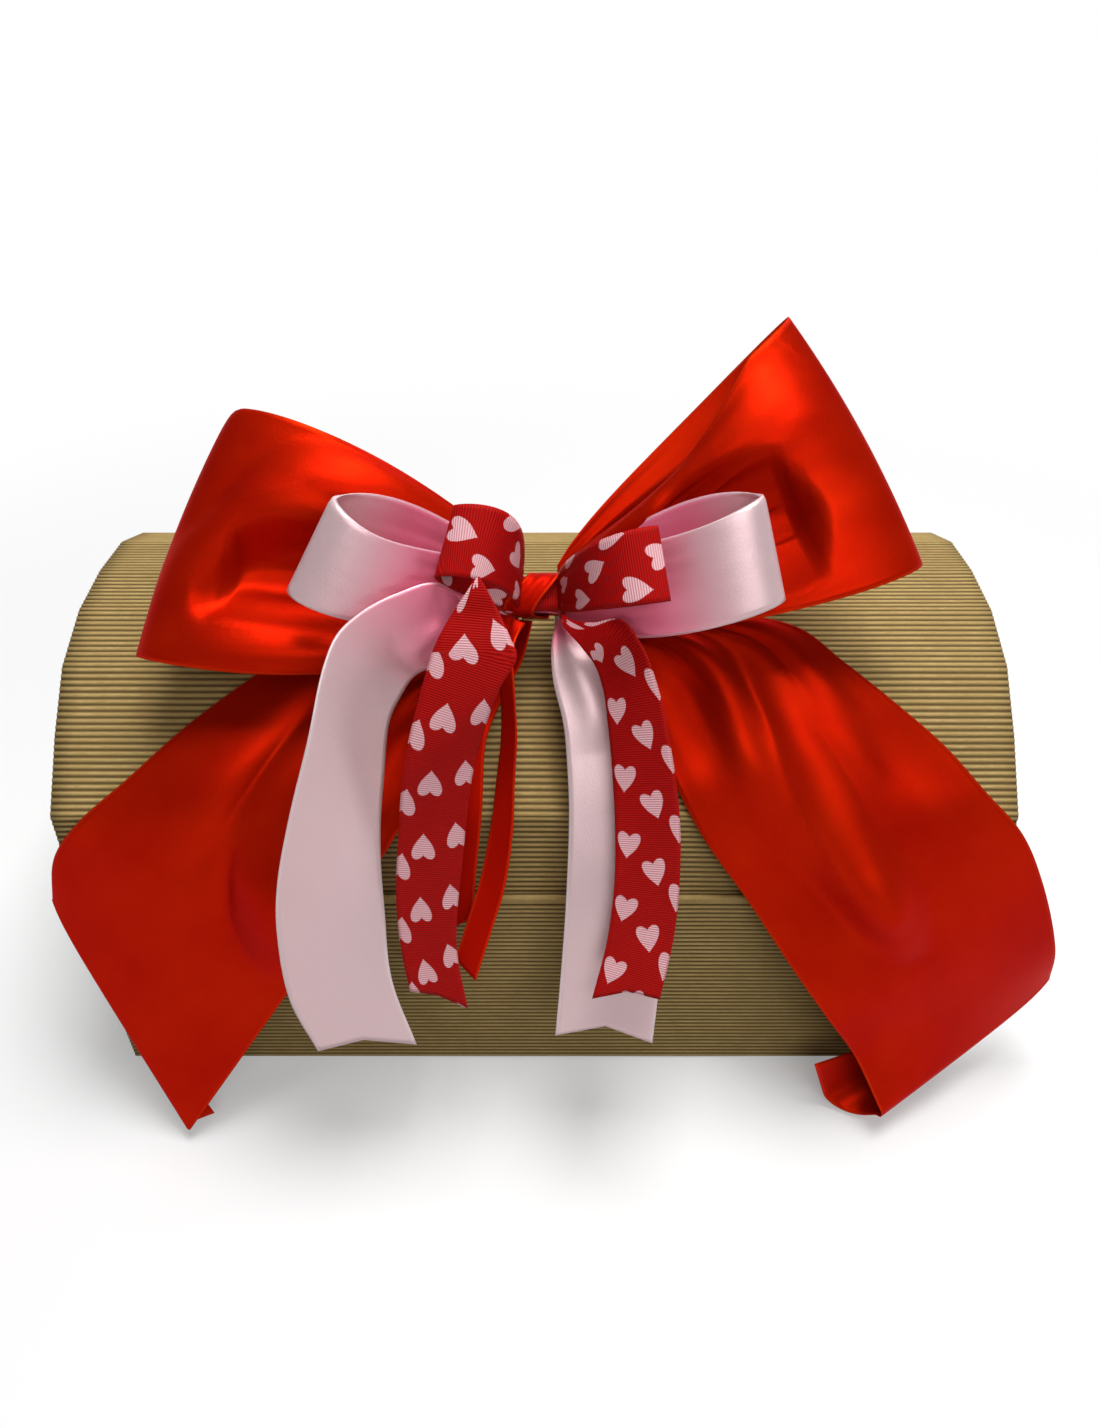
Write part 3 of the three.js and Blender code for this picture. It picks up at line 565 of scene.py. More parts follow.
def spline(points, shares):
    """Points of a smooth curve through given ones, at shares of its length in stations."""
    line = np.array(points, float)
    line = np.vstack([2 * line[0] - line[1], line, 2 * line[-1] - line[-2]])
    place = np.clip(np.array(shares, float), 0, 1) * (len(points) - 1)
    piece = np.minimum(place.astype(int), len(points) - 2)
    w = (place - piece)[:, None]
    p = [line[piece + k] for k in range(4)]
    gap = [np.maximum(np.linalg.norm(p[k + 1] - p[k], axis=1), 1e-6)[:, None] ** 0.5 for k in range(3)]
    leave = ((p[1] - p[0]) / gap[0] - (p[2] - p[0]) / (gap[0] + gap[1]) + (p[2] - p[1]) / gap[1]) * gap[1]
    reach = ((p[2] - p[1]) / gap[1] - (p[3] - p[1]) / (gap[1] + gap[2]) + (p[3] - p[2]) / gap[2]) * gap[1]
    bend = -3 * p[1] + 3 * p[2] - 2 * leave - reach
    twist = 2 * p[1] - 2 * p[2] + leave + reach
    return p[1] + leave * w + bend * w**2 + twist * w**3


def unit(vectors):
    return vectors / np.maximum(np.linalg.norm(vectors, axis=-1, keepdims=True), 1e-9)


def facing(rows):
    """Outward direction at each point of a grid of cloth, rows along and columns across it."""
    return unit(np.cross(np.gradient(rows, axis=0), np.gradient(rows, axis=1)))


def folded(rows, out, across, folds, face):
    """Pushes ridges and valleys into cloth. A fold runs from (out, across) to (out, across) with
    a height in millimetres and a half width in shares of the ribbon's width. Face is 1, or -1
    where the grid's outward side is the ribbon's back."""
    push = np.zeros(rows.shape[:2])
    for (o1, a1), (o2, a2), height, spread in folds:
        along = np.clip((out - o1) / (o2 - o1), 0, 1)
        centre = a1 + (a2 - a1) * along
        fade = np.sin(np.pi * along) ** 1.1
        push += face * height * fade * np.exp(-(((across - centre) / spread) ** 2))
    return rows + facing(rows) * push[..., None]


def swollen(rows, out, across, leaves, face):
    """Raises or sinks leaf-shaped parts of cloth. A leaf is a line of (out, across, half width,
    height in millimetres) and the steepness of its rim. Face is as for folds."""
    push = np.zeros(rows.shape[:2])
    for stations, rim in leaves:
        line = spline(stations, np.linspace(0, 1, 200))
        order = np.argsort(line[:, 0])
        centre, half, height = (np.interp(out, line[order, 0], line[order, k]) for k in (1, 2, 3))
        near = np.clip(1 - ((across - centre) / np.maximum(half, 0.02)) ** 2, 0, 1)
        ends = (out > line[0, 0]) & (out < line[-1, 0])
        push += face * height * near**rim * ends
    return rows + facing(rows) * push[..., None]


def in_place(points):
    """Points of the bow's plane, in millimetres, put where the bow sits on the lid, in metres."""
    x, y, z = np.moveaxis(np.asarray(points, float), -1, 0) / 1000
    lean, rise = math.cos(BOW_LEAN), math.sin(BOW_LEAN)
    return np.stack([KNOT.x + x, KNOT.y + y * lean - z * rise, KNOT.z + y * rise + z * lean], -1)


def off_the_box(rows):
    """Cloth that would sink into the lid or the base's front is lifted to lie just on it."""
    placed = in_place(rows) * 1000
    y, z = placed[..., 1], placed[..., 2]
    over = np.abs(placed[..., 0]) < half_length * 1000 + 2
    line = [(LIP_RIM[0] * 1000, LIP_RIM[1] * 1000)] + [(a * 1000, b * 1000) for a, b, _ in cover]
    depth = np.full(y.shape, -1e9)
    push_y, push_z = np.zeros_like(y), np.zeros_like(y)
    for (y0, z0), (y1, z1) in zip(line, line[1:]):
        long = math.hypot(y1 - y0, z1 - z0)
        ny, nz = -(z1 - z0) / long, (y1 - y0) / long
        away = (y - y0) * ny + (z - z0) * nz - CLOTH_ROOM
        nearer = away > depth
        depth = np.where(nearer, away, depth)
        push_y, push_z = np.where(nearer, ny, push_y), np.where(nearer, nz, push_z)
    above_rim = z > BASE_HEIGHT * 1000
    sunk = over & (depth < 0) & (depth > -DEEPEST_SINK) & above_rim
    lift_y = np.where(sunk, -depth * push_y, 0)
    lift_z = np.where(sunk, -depth * push_z, 0)
    clear = -half_depth * 1000 - CLOTH_ROOM
    wall = over & ~above_rim & (y > clear) & (y < -half_depth * 1000 + DEEPEST_SINK)
    lift_y = np.where(wall, clear - y, lift_y)
    lean, rise = math.cos(BOW_LEAN), math.sin(BOW_LEAN)
    up, forward = lift_y * lean + lift_z * rise, lift_z * lean - lift_y * rise
    return rows + np.stack([np.zeros_like(y), up, forward], -1)


def pleats(out, across, height):
    """Uneven gathers that stand up at the knot and die out along the ribbon."""
    ripple = 0.65 * np.cos(5.2 * np.pi * across + 0.6) + 0.40 * np.cos(8.3 * np.pi * across + 1.9 + 2 * out)
    return height * (1 - out) ** 1.6 * np.minimum(out / 0.06, 1) * ripple


def sag(out, depth, deepest=0.5, closed=1):
    """How far an edge hangs down at each share of the way out to the fold."""
    power = math.log(0.5) / math.log(deepest / closed)
    return depth * np.sin(np.pi * np.clip(out / closed, 0, 1) ** power)


def loop_cloth(shape, width, layer, gap, pinch, bulge, steps, columns, front=(), rear=(), leaves=()):
    """A loop in the bow's plane: over the front layer, round the fold and back behind."""
    end = np.array(shape["end"], float)
    side = np.sign(end[0])
    first = math.acos(1 - 2 * LOOP_START)
    start = side * (NECK_REACH + gap)
    root = np.array([(start - LOOP_START * end[0]) / (1 - LOOP_START), 0, layer])
    reach = end - root
    turn = np.linspace(first, 2 * np.pi - first, steps + 1)
    out = ((1 - np.cos(turn)) / 2)[:, None] * np.ones(columns + 1)
    across = np.ones((steps + 1, 1)) * np.linspace(-1, 1, columns + 1)

    def fold_at(share):
        lean = math.radians(shape["lean"]) * np.sqrt(share)
        tip = math.radians(shape["tip"]) * np.sqrt(share)
        return np.stack([np.sin(lean) * np.cos(tip), np.cos(lean) * np.cos(tip), np.sin(tip)], -1)

    fold = fold_at(np.array(1.0))
    normal = np.cross(reach, fold)
    normal = unit(normal if normal[2] > 0 else -normal)
    shear = math.radians(shape["open"])
    depthway = normal * math.cos(shear) - fold * math.sin(shear)
    swell = (np.sin(turn) * np.sin(turn / 2) / LOOP_SWELL)[:, None]
    off = shape["hollow"] * np.where(swell > 0, 1 - shape["rear"], shape["rear"]) * swell
    fan = pinch + (1 - pinch) * out**LOOP_FAN
    rows = root + reach * out[..., None]
    rows = rows + fold_at(out) * (across * width / 2 * fan)[..., None]
    rows = rows + unit(reach) * (bulge * (1 - across**2) * out**2)[..., None]
    rows = rows + depthway * (off + pleats(out, across, shape.get("pleat", 0)))[..., None]
    near = np.arange(steps + 1)[:, None] <= steps / 2
    upper, lower = (np.clip((side * across + 0.4) / 1.4, 0, 1) ** 2 for side in (1, -1))
    sink = np.where(near, sag(out, *shape.get("dip", (0,))), sag(out, *shape.get("rear_dip", (0,)))) * upper
    sink = sink + np.where(near, sag(out, *shape.get("drop", (0,))), 0) * lower
    rows = rows - fold * sink[..., None]
    rows = rows - (unit(reach) * 0.7 + fold) * (shape.get("corner", 0) * upper**9 * out**6)[..., None]
    face = 1 if facing(rows)[steps // 6, columns // 2, 2] > 0 else -1
    for folds, here in ((front, near), (rear, ~near)):
        rows = np.where(here[..., None], folded(rows, out, across, folds, face), rows)
    return np.where(near[..., None], swollen(rows, out, across, leaves, face), rows)


def tail_cloth(left, right, steps, columns, crown=0, folds=(), leaves=(), slant=0, notch=0, pleat=0):
    """A hanging stretch between its two edges, crowned on the way and cut at the end. One with
    leaves lies on the box, and they rise from it."""
    shares = np.linspace(0, 1, steps + 1)
    from_edge, to_edge = spline(left, shares), spline(right, shares)
    along = unit(np.gradient(from_edge, axis=0) + np.gradient(to_edge, axis=0))
    outward = unit(np.cross(along, to_edge - from_edge))
    across = np.ones((steps + 1, 1)) * np.linspace(-1, 1, columns + 1)
    part = ((across + 1) / 2)[..., None]
    rows = from_edge[:, None] * (1 - part) + to_edge[:, None] * part
    cut = (slant * across - notch * (1 - np.abs(across))) * (shares**4)[:, None]
    rows = rows + along[:, None] * cut[..., None]
    out = shares[:, None] * np.ones_like(across)
    lift = crown * (1 - across**2) * np.sin(np.pi * out) + pleats(out, across, pleat) * (1 - out) ** 2
    rows = rows + outward[:, None] * lift[..., None]
    if leaves:
        rows = off_the_box(rows)
    face = 1 if facing(rows)[steps // 2, columns // 2, 2] > 0 else -1
    return swollen(folded(rows, out, across, folds, face), out, across, leaves, face)


CURL_STEPS = 18
FLAP_STEPS = 8


def curled_under(rows, side, radius, degrees, flap, taper, wide=0, drift=0, corner=0):
    """Rolls the end of a tail under, with a flap that is longest towards the bow's middle. The
    roll is wider there, starts as much sooner and drifts out along its axis. The outer corner
    of the tail is rounded."""
    last = rows[-1]
    axis = unit(last[-1] - last[0])
    ahead = last[len(last) // 2] - rows[-4][len(last) // 2]
    ahead = unit(ahead - axis * ahead.dot(axis))
    outward = np.cross(ahead, axis)
    outer = np.linspace(0, 1, len(last)) if side > 0 else np.linspace(1, 0, len(last))
    inner = (1 - outer) ** 1.5
    most = math.radians(degrees)
    more = (wide * inner + corner * outer**12)[:, None]
    radius = (radius + wide * inner)[:, None] * (1 - 0.8 * outer**4)[:, None]
    sooner = np.clip((np.linspace(0, 1, len(rows)) - 0.80) / 0.20, 0, 1) ** 2
    rows = rows - ahead * more * sooner[:, None, None]
    last = rows[-1]
    stages = [(most * (k + 1) / CURL_STEPS, 0) for k in range(CURL_STEPS)]
    stages += [(most, (k + 1) / FLAP_STEPS) for k in range(FLAP_STEPS)]
    added = []
    for angle, beyond in stages:
        straight = (beyond * flap * (1 - outer) ** taper)[:, None]
        late = max(angle / most - 0.35, 0) / 0.65
        sideways = (drift * (1 - (1 - late) ** 2) * inner)[:, None]
        added.append(
            last
            - axis * side * sideways
            + ahead * (radius * math.sin(angle) + straight * math.cos(angle))
            - outward * (radius * (1 - math.cos(angle)) + straight * math.sin(angle))
        )
    return np.concatenate([rows, np.array(added)])


TANGENT_ROWS = 5
NEAREST_ROWS = 20


def woven(name, rows, width, material, node):
    """A ribbon piece from its grid of points: its mesh, with the CAD node it stands for hidden. Its
    weave is mapped by the length at the nearest point of the middle line, so it doesn't skew."""
    count, across = rows.shape[:2]
    mesh = bpy.data.meshes.new(name)
    faces = [
        (i * across + j, (i + 1) * across + j, (i + 1) * across + j + 1, i * across + j + 1)
        for i in range(count - 1)
        for j in range(across - 1)
    ]
    points = in_place(rows)
    mesh.from_pydata(points.reshape(-1, 3).tolist(), [], faces)
    middle = rows[:, across // 2]
    length = np.concatenate([[0], np.cumsum(np.linalg.norm(np.diff(middle, axis=0), axis=1))])
    order = np.arange(count)
    later = middle[np.minimum(order + TANGENT_ROWS, count - 1)]
    ahead = unit(later - middle[np.maximum(order - TANGENT_ROWS, 0)])
    apart = np.linalg.norm(rows[:, :, None] - middle, axis=-1)
    apart[np.abs(order[:, None, None] - order) * np.ones((1, across, 1)) > NEAREST_ROWS] = 1e6
    nearest = apart.argmin(-1)
    along = (length[nearest] + ((rows - middle[nearest]) * ahead[nearest]).sum(-1)).ravel()
    layer = mesh.uv_layers.new(name="ribbon")
    spots = [((k % across) / (across - 1) * width / 10, along[k] / 10) for f in faces for k in f]
    layer.data.foreach_set("uv", [x for spot in spots for x in spot])
    mesh.materials.append(material)
    for face in mesh.polygons:
        face.use_smooth = True
    piece = link(bpy.data.objects.new(name, mesh))
    wall = piece.modifiers.new("cloth", "SOLIDIFY")
    wall.thickness = CLOTH
    wall.offset = 0
    only_mesh(piece)
    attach(piece, "lid")
    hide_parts(node)


LIGHT_THROUGH = {
    "Subsurface_Weight": 0.4,
    "Subsurface_Radius": (1, 0.6, 0.65),
    "Subsurface_Scale": 0.003,
}


def satin_finish(
    name, colour, deep, glow, width, shine, rough, gloss=0.05, length=None, shade=None, reach=None
):
    """Satin: long glossy threads along the ribbon and bound edges. A pale one gets painted shade and a
    painted reflection of the red near its knot end, or near both ends when its length in millimetres is
    given."""
    through = LIGHT_THROUGH if shade else {}
    satin = Finish(name, Metallic=shine, Specular_IOR_Level=gloss, Specular_Tint=glow, **through)
    uv = satin.place("UV")
    across, along, _ = satin.parts(uv)
    threads = satin.noise(satin.stretched(uv, (95, 5, 1)), 1, 2, 0.6)
    weft = satin.noise(satin.stretched(uv, (6, 70, 1)), 1, 2, 0.5)
    grain = satin.noise(satin.stretched(uv, (13, 9, 1)), 1, 2, 0.7)
    cloudy = satin.noise(satin.stretched(uv, (0.35, 0.22, 1)), 1, 3, 0.5)
    edge = (across / (width / 10) - 0.5).absolute()
    bound = edge.above(0.5 - 0.9 / width, 0.35 / width)
    body = satin.blend(cloudy * 0.8 + threads * 0.25 - 0.15, deep, colour)
    # Painted shade and a painted reflection of the red ribbons, deepest at the knot and fading along the
    # ribbon.
    if shade:
        from_knot = along.math("MINIMUM", along, length / 10 - along) if length else along
        body = satin.blend(satin.ramp(from_knot, *reach) * 0.95, body, shade)
    satin.give(Base_Color=satin.blend(bound * 0.22, body, glow))
    satin.give(Roughness=threads * 0.10 + cloudy * 0.08 + (rough - 0.09))
    broad = [(bound, 0.35, 0.00012), (cloudy, 0.2, 0.0012), (grain, 0.35, 0.00016)]
    satin.relief(*broad, (threads, 0.4, 0.00007), (weft, 0.35, 0.00007))
    return satin.material


red_satin = satin_finish(
    "red satin",
    colour=(0.60, 0.021, 0.001, 1),
    deep=(0.36, 0.003, 0.001, 1),
    glow=(1, 0.07, 0.005, 1),
    width=WIDE,
    shine=0.60,
    rough=0.43,
)

WIDE_LOOPS = {
    "left": {
        "end": (-129, 24, 8), "lean": 21.5, "tip": 0, "hollow": 27, "rear": 0.26, "open": 4,
        "dip": (-2, 0.6), "drop": (6, 0.5), "corner": 3.2, "pleat": 1.8,
    },
    "right": {
        "end": (113, 54, 18), "lean": -28.5, "tip": 0, "hollow": 30, "rear": 0.35, "open": 14,
        "dip": (12, 0.42, 0.82), "rear_dip": (3,), "pleat": 2.8,
    },
}
# The front of each loop falls in towards the knot, in a leaf-shaped hollow with a full rim.
WIDE_HOLLOWS = {
    "left": [
        (
            [
                (0.04, 0.60, 0.5, 0), (0.3, 0.58, 0.52, 4), (0.6, 0.58, 0.50, 8), (0.8, 0.30, 0.50, 6),
                (0.9, -0.1, 0.4, 4), (1.0, -0.4, 0.3, 0),
            ],
            1.6,
        ),
        (
            [
                (0.08, -0.10, 0.40, 0), (0.3, -0.16, 0.52, -8), (0.55, -0.16, 0.50, -15),
                (0.73, -0.20, 0.44, -14), (0.83, -0.40, 0.26, -6), (0.89, -0.50, 0.12, 0),
            ],
            1.3,
        ),
        (
            [(0.15, -0.80, 0.2, 0), (0.5, -0.82, 0.26, 3), (0.75, -0.82, 0.22, 2), (0.9, -0.8, 0.2, 0)],
            1.8,
        ),
    ],
    "right": [
        (
            [
                (0.08, -0.50, 0.80, 0), (0.35, -0.50, 1.15, -9), (0.57, -0.20, 0.90, -15),
                (0.68, -0.22, 0.72, -15), (0.75, -0.26, 0.50, -11), (0.80, -0.26, 0.25, -3),
                (0.82, -0.26, 0.10, 0),
            ],
            1.5,
        ),
        ([(0.1, 0.75, 0.3, 0), (0.45, 0.7, 0.4, 3), (0.75, 0.5, 0.5, 4), (1.0, 0.1, 0.4, 0)], 1.8),
    ],
}
WIDE_LOOP_FOLDS = {
    "left": {
        "front": [
            ((0.02, 0.7), (0.60, 0.75), 1.4, 0.18),
            ((0.02, 0.35), (0.50, 0.45), -1.2, 0.14),
            ((0.02, -0.8), (0.55, -0.85), 1.4, 0.15),
        ],
        "rear": [((0.02, 0.2), (0.9, 0.1), 2.0, 0.25), ((0.02, -0.5), (0.8, -0.5), -2.0, 0.2)],
    },
    "right": {
        "front": [
            ((0.02, 0.6), (0.55, 0.7), 2.2, 0.13),
            ((0.02, 0.25), (0.5, 0.35), -1.6, 0.12),
            ((0.02, -0.6), (0.6, -0.75), 2.0, 0.13),
        ],
        "rear": [((0.02, 0.2), (0.9, 0.1), 2.0, 0.25), ((0.02, -0.5), (0.8, -0.5), -2.0, 0.2)],
    },
}
WIDE_TAILS = {
    "left": {
        "left": [
            (-8, -1, -10), (-18, -4, -14), (-50, -7, -17), (-87, -13, -18), (-112, -31, -12),
            (-134, -49, -6), (-155, -68, -4), (-175, -85, -6), (-189, -100, -16), (-197, -119, -29),
        ],
        "right": [
            (-8, -6, -10), (-12, -14, -13), (-26, -34, -13), (-38, -54, -9), (-47, -77, -5),
            (-57, -94, -8), (-74, -119, -16), (-91, -142, -26), (-111, -169, -38), (-150, -222, -60),
        ],
        "curl": {"radius": 3, "degrees": 170, "flap": 9, "taper": 1, "corner": 2.5},
        "folds": [
            ((0.05, 0.1), (0.45, -0.1), 2.0, 0.14),
            ((0.05, -0.45), (0.50, -0.6), 1.6, 0.16),
            ((0.40, -0.38), (0.78, -0.10), -2.2, 0.10),
            ((0.60, -0.24), (0.86, 0.46), -1.6, 0.10),
            ((0.30, 0.35), (0.66, 0.45), -2.4, 0.14),
            ((0.45, 0.80), (0.78, 0.75), 1.6, 0.12),
        ],
        "leaves": [
            (
                [
                    (0.2, 0.3, 0.5, 0), (0.38, 0.3, 0.66, 3), (0.5, 0.36, 0.62, 7),
                    (0.6, 0.42, 0.58, 10), (0.69, 0.50, 0.52, 12), (0.75, 0.58, 0.42, 9),
                    (0.80, 0.68, 0.3, 4), (0.84, 0.8, 0.1, 0),
                ],
                1.3,
            ),
            (
                [(0.25, -0.5, 0.4, 0), (0.45, -0.5, 0.55, 4), (0.58, -0.5, 0.6, 5.5), (0.76, -0.4, 0.6, 0)],
                1.5,
            ),
        ],
    },
    "right": {
        "left": [
            (8, -6, -10), (12, -15, -13), (23, -22, -13), (34, -36, -10), (44, -53, -7),
            (52, -72, -5), (63, -92, -10), (82, -118, -20), (100, -145, -24), (116, -167, -32),
            (131, -187, -47), (146, -216, -58),
        ],
        "right": [
            (8, -1, -10), (22, -5, -13), (70, -5, -13), (99, -11, -9), (115, -24, -6),
            (132, -38, -5), (152, -55, -6), (168, -73, -4), (184, -89, -9), (199, -111, -24),
            (216, -143, -50), (226, -164, -77),
        ],
        "curl": {
            "radius": 7, "degrees": 185, "flap": 26, "taper": 1.8, "wide": 4, "drift": 13, "corner": 4,
        },
        "folds": [
            ((0.08, 0.20), (0.60, -0.58), 4.2, 0.17),
            ((0.15, 0.40), (0.66, -0.36), -2.6, 0.17),
            ((0.20, 0.34), (0.76, -0.20), 1.8, 0.15),
            ((0.20, 0.70), (0.70, 0.02), -1.8, 0.18),
            ((0.10, 0.95), (0.78, 0.06), 2.4, 0.17),
        ],
        "leaves": [
            (
                [
                    (0.08, 0.35, 0.5, 0), (0.28, 0.25, 0.66, 2), (0.47, 0.06, 0.60, 6),
                    (0.6, -0.10, 0.46, 10), (0.69, -0.14, 0.36, 13), (0.75, -0.15, 0.30, 7),
                    (0.81, -0.15, 0.20, 0),
                ],
                1.8,
            ),
            (
                [(0.25, 0.6, 0.4, 0), (0.45, 0.6, 0.55, 4), (0.58, 0.55, 0.6, 5.5), (0.74, 0.45, 0.6, 0)],
                1.5,
            ),
        ],
    },
}

for side, hand in (("left", -1), ("right", 1)):
    rows = loop_cloth(
        WIDE_LOOPS[side], WIDE, -LAYER, ROOT_GAP, 0.08, 3, 132, 44,
        WIDE_LOOP_FOLDS[side]["front"], WIDE_LOOP_FOLDS[side]["rear"], WIDE_HOLLOWS[side],
    )
    node = f"wide_ribbon_loop_{side}"
    woven(f"wide_loop_{side}", rows, WIDE, red_satin, node)
    tail = WIDE_TAILS[side]
    rows = tail_cloth(tail["left"], tail["right"], 120, 44, 2, tail["folds"], tail["leaves"], pleat=1.8)
    rows = off_the_box(curled_under(rows, hand, **tail["curl"]))
    node = f"wide_ribbon_tail_{side}"
    woven(f"wide_tail_{side}", rows, WIDE, red_satin, node)


NECK_HALF_WIDTH = 7.0
NECK_HALF_THICKNESS = 3.45
NECK_OVERLAP = 0.2


def gathered_neck(name, layer, material, node, pleats):
    """The bunched neck of a ribbon inside the tie: tight pleats that run through the knot."""
    around, along = 72, 18
    points = []
    for i in range(along + 1):
        share = i / along * 2 - 1
        for j in range(around):
            angle = 2 * math.pi * j / around
            square = (abs(math.cos(angle)) ** 4 + abs(math.sin(angle)) ** 4) ** -0.25
            depth = 0.07 * (0.5 + 0.5 * math.cos(pleats * angle + 0.6 * share + layer))
            flare = 0.90 + 0.09 * share**4
            size = square * flare * (1 - depth)
            y = math.cos(angle) * NECK_HALF_WIDTH * size
            z = layer + math.sin(angle) * NECK_HALF_THICKNESS * size
            points.append((share * (NECK_REACH + NECK_OVERLAP), y, z))
    faces = []
    for start in range(0, along * around, around):
        for j in range(around):
            here, beside = start + j, start + (j + 1) % around
            faces.append((here, beside, beside + around, here + around))
    faces += [tuple(range(around)), tuple(along * around + j for j in reversed(range(around)))]
    mesh = bpy.data.meshes.new(name)
    mesh.from_pydata(in_place(points).tolist(), [], faces)
    shell = bmesh.new()
    shell.from_mesh(mesh)
    bmesh.ops.recalc_face_normals(shell, faces=shell.faces)
    shell.to_mesh(mesh)
    shell.free()
    layer_uv = mesh.uv_layers.new(name="ribbon")
    for loop in mesh.loops:
        layer_uv.data[loop.index].uv = ((loop.vertex_index % around) / 9, loop.vertex_index // around / 13)
    for face in mesh.polygons:
        face.use_smooth = True
    mesh.materials.append(material)
    piece = link(bpy.data.objects.new(name, mesh))
    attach(piece, "lid")
    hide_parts(node)


gathered_neck("wide_neck", -LAYER, red_satin, "wide_ribbon_gather", 11)

# Pink ribbon: pale pink satin 38 mm wide, tied in front of the wide one. Its loops stand open
# at the top, and its tails hang in front of the box with their ends cut to a shallow V.
PINK = 38
PINK_LOOP_LENGTH = 175
PINK_SATIN = {
    "colour": (0.78, 0.56, 0.57, 1),
    "deep": (0.70, 0.46, 0.49, 1),
    "glow": (1, 0.94, 0.94, 1),
    "width": PINK,
    "shine": 0.35,
    "rough": 0.34,
    "gloss": 0.5,
    # Deep pink near the knot: painted shade and a painted reflection of the red satin.
    "shade": (0.80, 0.14, 0.25, 1),
}

# The three pink finishes differ only in how far the painted shade near the knot reaches.
pink_loop_satin = satin_finish("pink satin, loops", **PINK_SATIN, length=PINK_LOOP_LENGTH, reach=(8.2, 4.4))
pink_satin = {
    "left": satin_finish("pink satin, left tail", **PINK_SATIN, reach=(9.0, 4.5)),
    "right": satin_finish("pink satin, right tail", **PINK_SATIN, reach=(1.8, 0.6)),
}

PINK_LOOPS = {
    "left": {
        "end": (-76, 13.5, 44), "lean": 30, "tip": 16, "hollow": 22, "rear": 0.35, "open": 8,
        "dip": (3.5, 0.78), "rear_dip": (-3, 0.6), "corner": 3, "pleat": 1.2,
    },
    "right": {
        "end": (78, 12, 48), "lean": -14, "tip": 12, "hollow": 22, "rear": 0.35, "open": 8,
        "dip": (2.5, 0.75), "rear_dip": (-4, 0.6), "drop": (4, 0.4), "corner": 3, "pleat": 1.2,
    },
}
PINK_TAILS = {
    "left": [
        [
            (-9.4, -6, -2.4), (-13.5, -12.5, 0), (-20, -12.5, 14), (-34, 0.5, 38), (-48.3, -4, 43),
            (-59, -10.3, 46), (-66.5, -17.5, 47), (-71, -28, 47), (-77, -53, 44), (-85, -79, 36),
            (-91.5, -103, 26), (-94.5, -122.5, 15), (-92.7, -151, 2), (-84.4, -172.5, -8),
        ],
        [
            (-9.4, -8, -2.4), (-12.5, -17, -1), (-18, -20, 12), (-29, -24, 24), (-37.5, -27.5, 25),
            (-44, -30.6, 22), (-49.3, -38, 20), (-53.4, -46.6, 18), (-56.1, -67.8, 14), (-57.5, -83, 12),
            (-57.8, -97, 10), (-57, -116, 6), (-55.2, -143, 0), (-47.1, -170.6, -10),
        ],
    ],
    "right": [
        (9.4, -6, -2.4, 0.1), (11, -14, 2, 0.35), (17, -24, 7, 0.72), (26, -42, 8, 0.95),
        (29, -58, 7, 1), (30, -80, 5, 1), (29, -114, 0, 1), (27, -146, -10, 1), (25, -171, -18, 1),
    ],
}
PINK_FOLDS = {
    "left": [((0.06, 0.0), (0.40, 0.55), 2.2, 0.35), ((0.04, 0.75), (0.32, 0.95), -1.6, 0.25)],
    "right": [((0.05, -0.2), (0.5, -0.4), 1.5, 0.3)],
}
PINK_NOTCH = {"left": 4, "right": 6}


def edges_of(width, stations, turned=False):
    """Both edges of a narrow tail from its middle line and the share of its width spread there,
    where it is gathered or, when turned, where it shows more of its side."""
    middle = np.array([s[:3] for s in stations], float)
    spread = np.array([s[3] for s in stations], float)[:, None]
    shares = np.linspace(0, 1, len(stations))
    after, before = np.minimum(shares + 0.002, 1), np.maximum(shares - 0.002, 0)
    along = unit(spline(middle, after) - spline(middle, before))
    across = unit(np.cross(np.array([0, 0, 1.0]), along))
    half = across * spread * width / 2
    if turned:
        half = half + np.array([0, 0, 1.0]) * np.sqrt(1 - spread**2) * width / 2
    return middle - half, middle + half


for side in ("left", "right"):
    rows = loop_cloth(PINK_LOOPS[side], PINK, 0, ROOT_GAP, 0.3, 0, 112, 18)
    woven(
        f"pink_loop_{side}", rows, PINK, pink_loop_satin, f"pink_ribbon_loop_{side}",
    )
    left, right = PINK_TAILS[side] if side == "left" else edges_of(PINK, PINK_TAILS[side])
    rows = tail_cloth(left, right, 128, 18, folds=PINK_FOLDS[side], notch=PINK_NOTCH[side])
    woven(
        f"pink_tail_{side}", rows, PINK, pink_satin[side], f"pink_ribbon_tail_{side}",
    )

gathered_neck("pink_neck", 0, pink_satin["left"], "pink_ribbon_gather", 9)

# Heart ribbon: red grosgrain 25 mm wide, ribbed across and printed with pale pink hearts. It
# is tied last, in small round loops, and its tails end in a slightly ragged cut.
HEARTS = 25
HEART_REPEAT = 25.5
HEART_SPOTS = {
    "gathered": [],
    "left": [(1.2, 2.0, 8), (9.5, 19.2, -4), (22.0, 13.3, -14)],
    "right": [(5.0, 4.0, 8), (15.6, 14.0, -16), (25.0, 23.0, 8)],
    "left loop": [(5.0, 13.0, 8), (15.6, 23.0, -16), (25.0, 6.5, 8)],
}
HEART_WIDTH = 8.8
HEART_HEIGHT = 9.5
RIB = 0.85
PRINT_START = 8
HEART_RED = (0.42, 0.005, 0.005, 1)
HEART_RED_DEEP = (0.20, 0.001, 0.002, 1)
HEART_PINK = (0.78, 0.52, 0.55, 1)
HEART_PINK_DEEP = (0.52, 0.21, 0.24, 1)
HEART_EDGE = (0.45, 0.01, 0.01, 1)


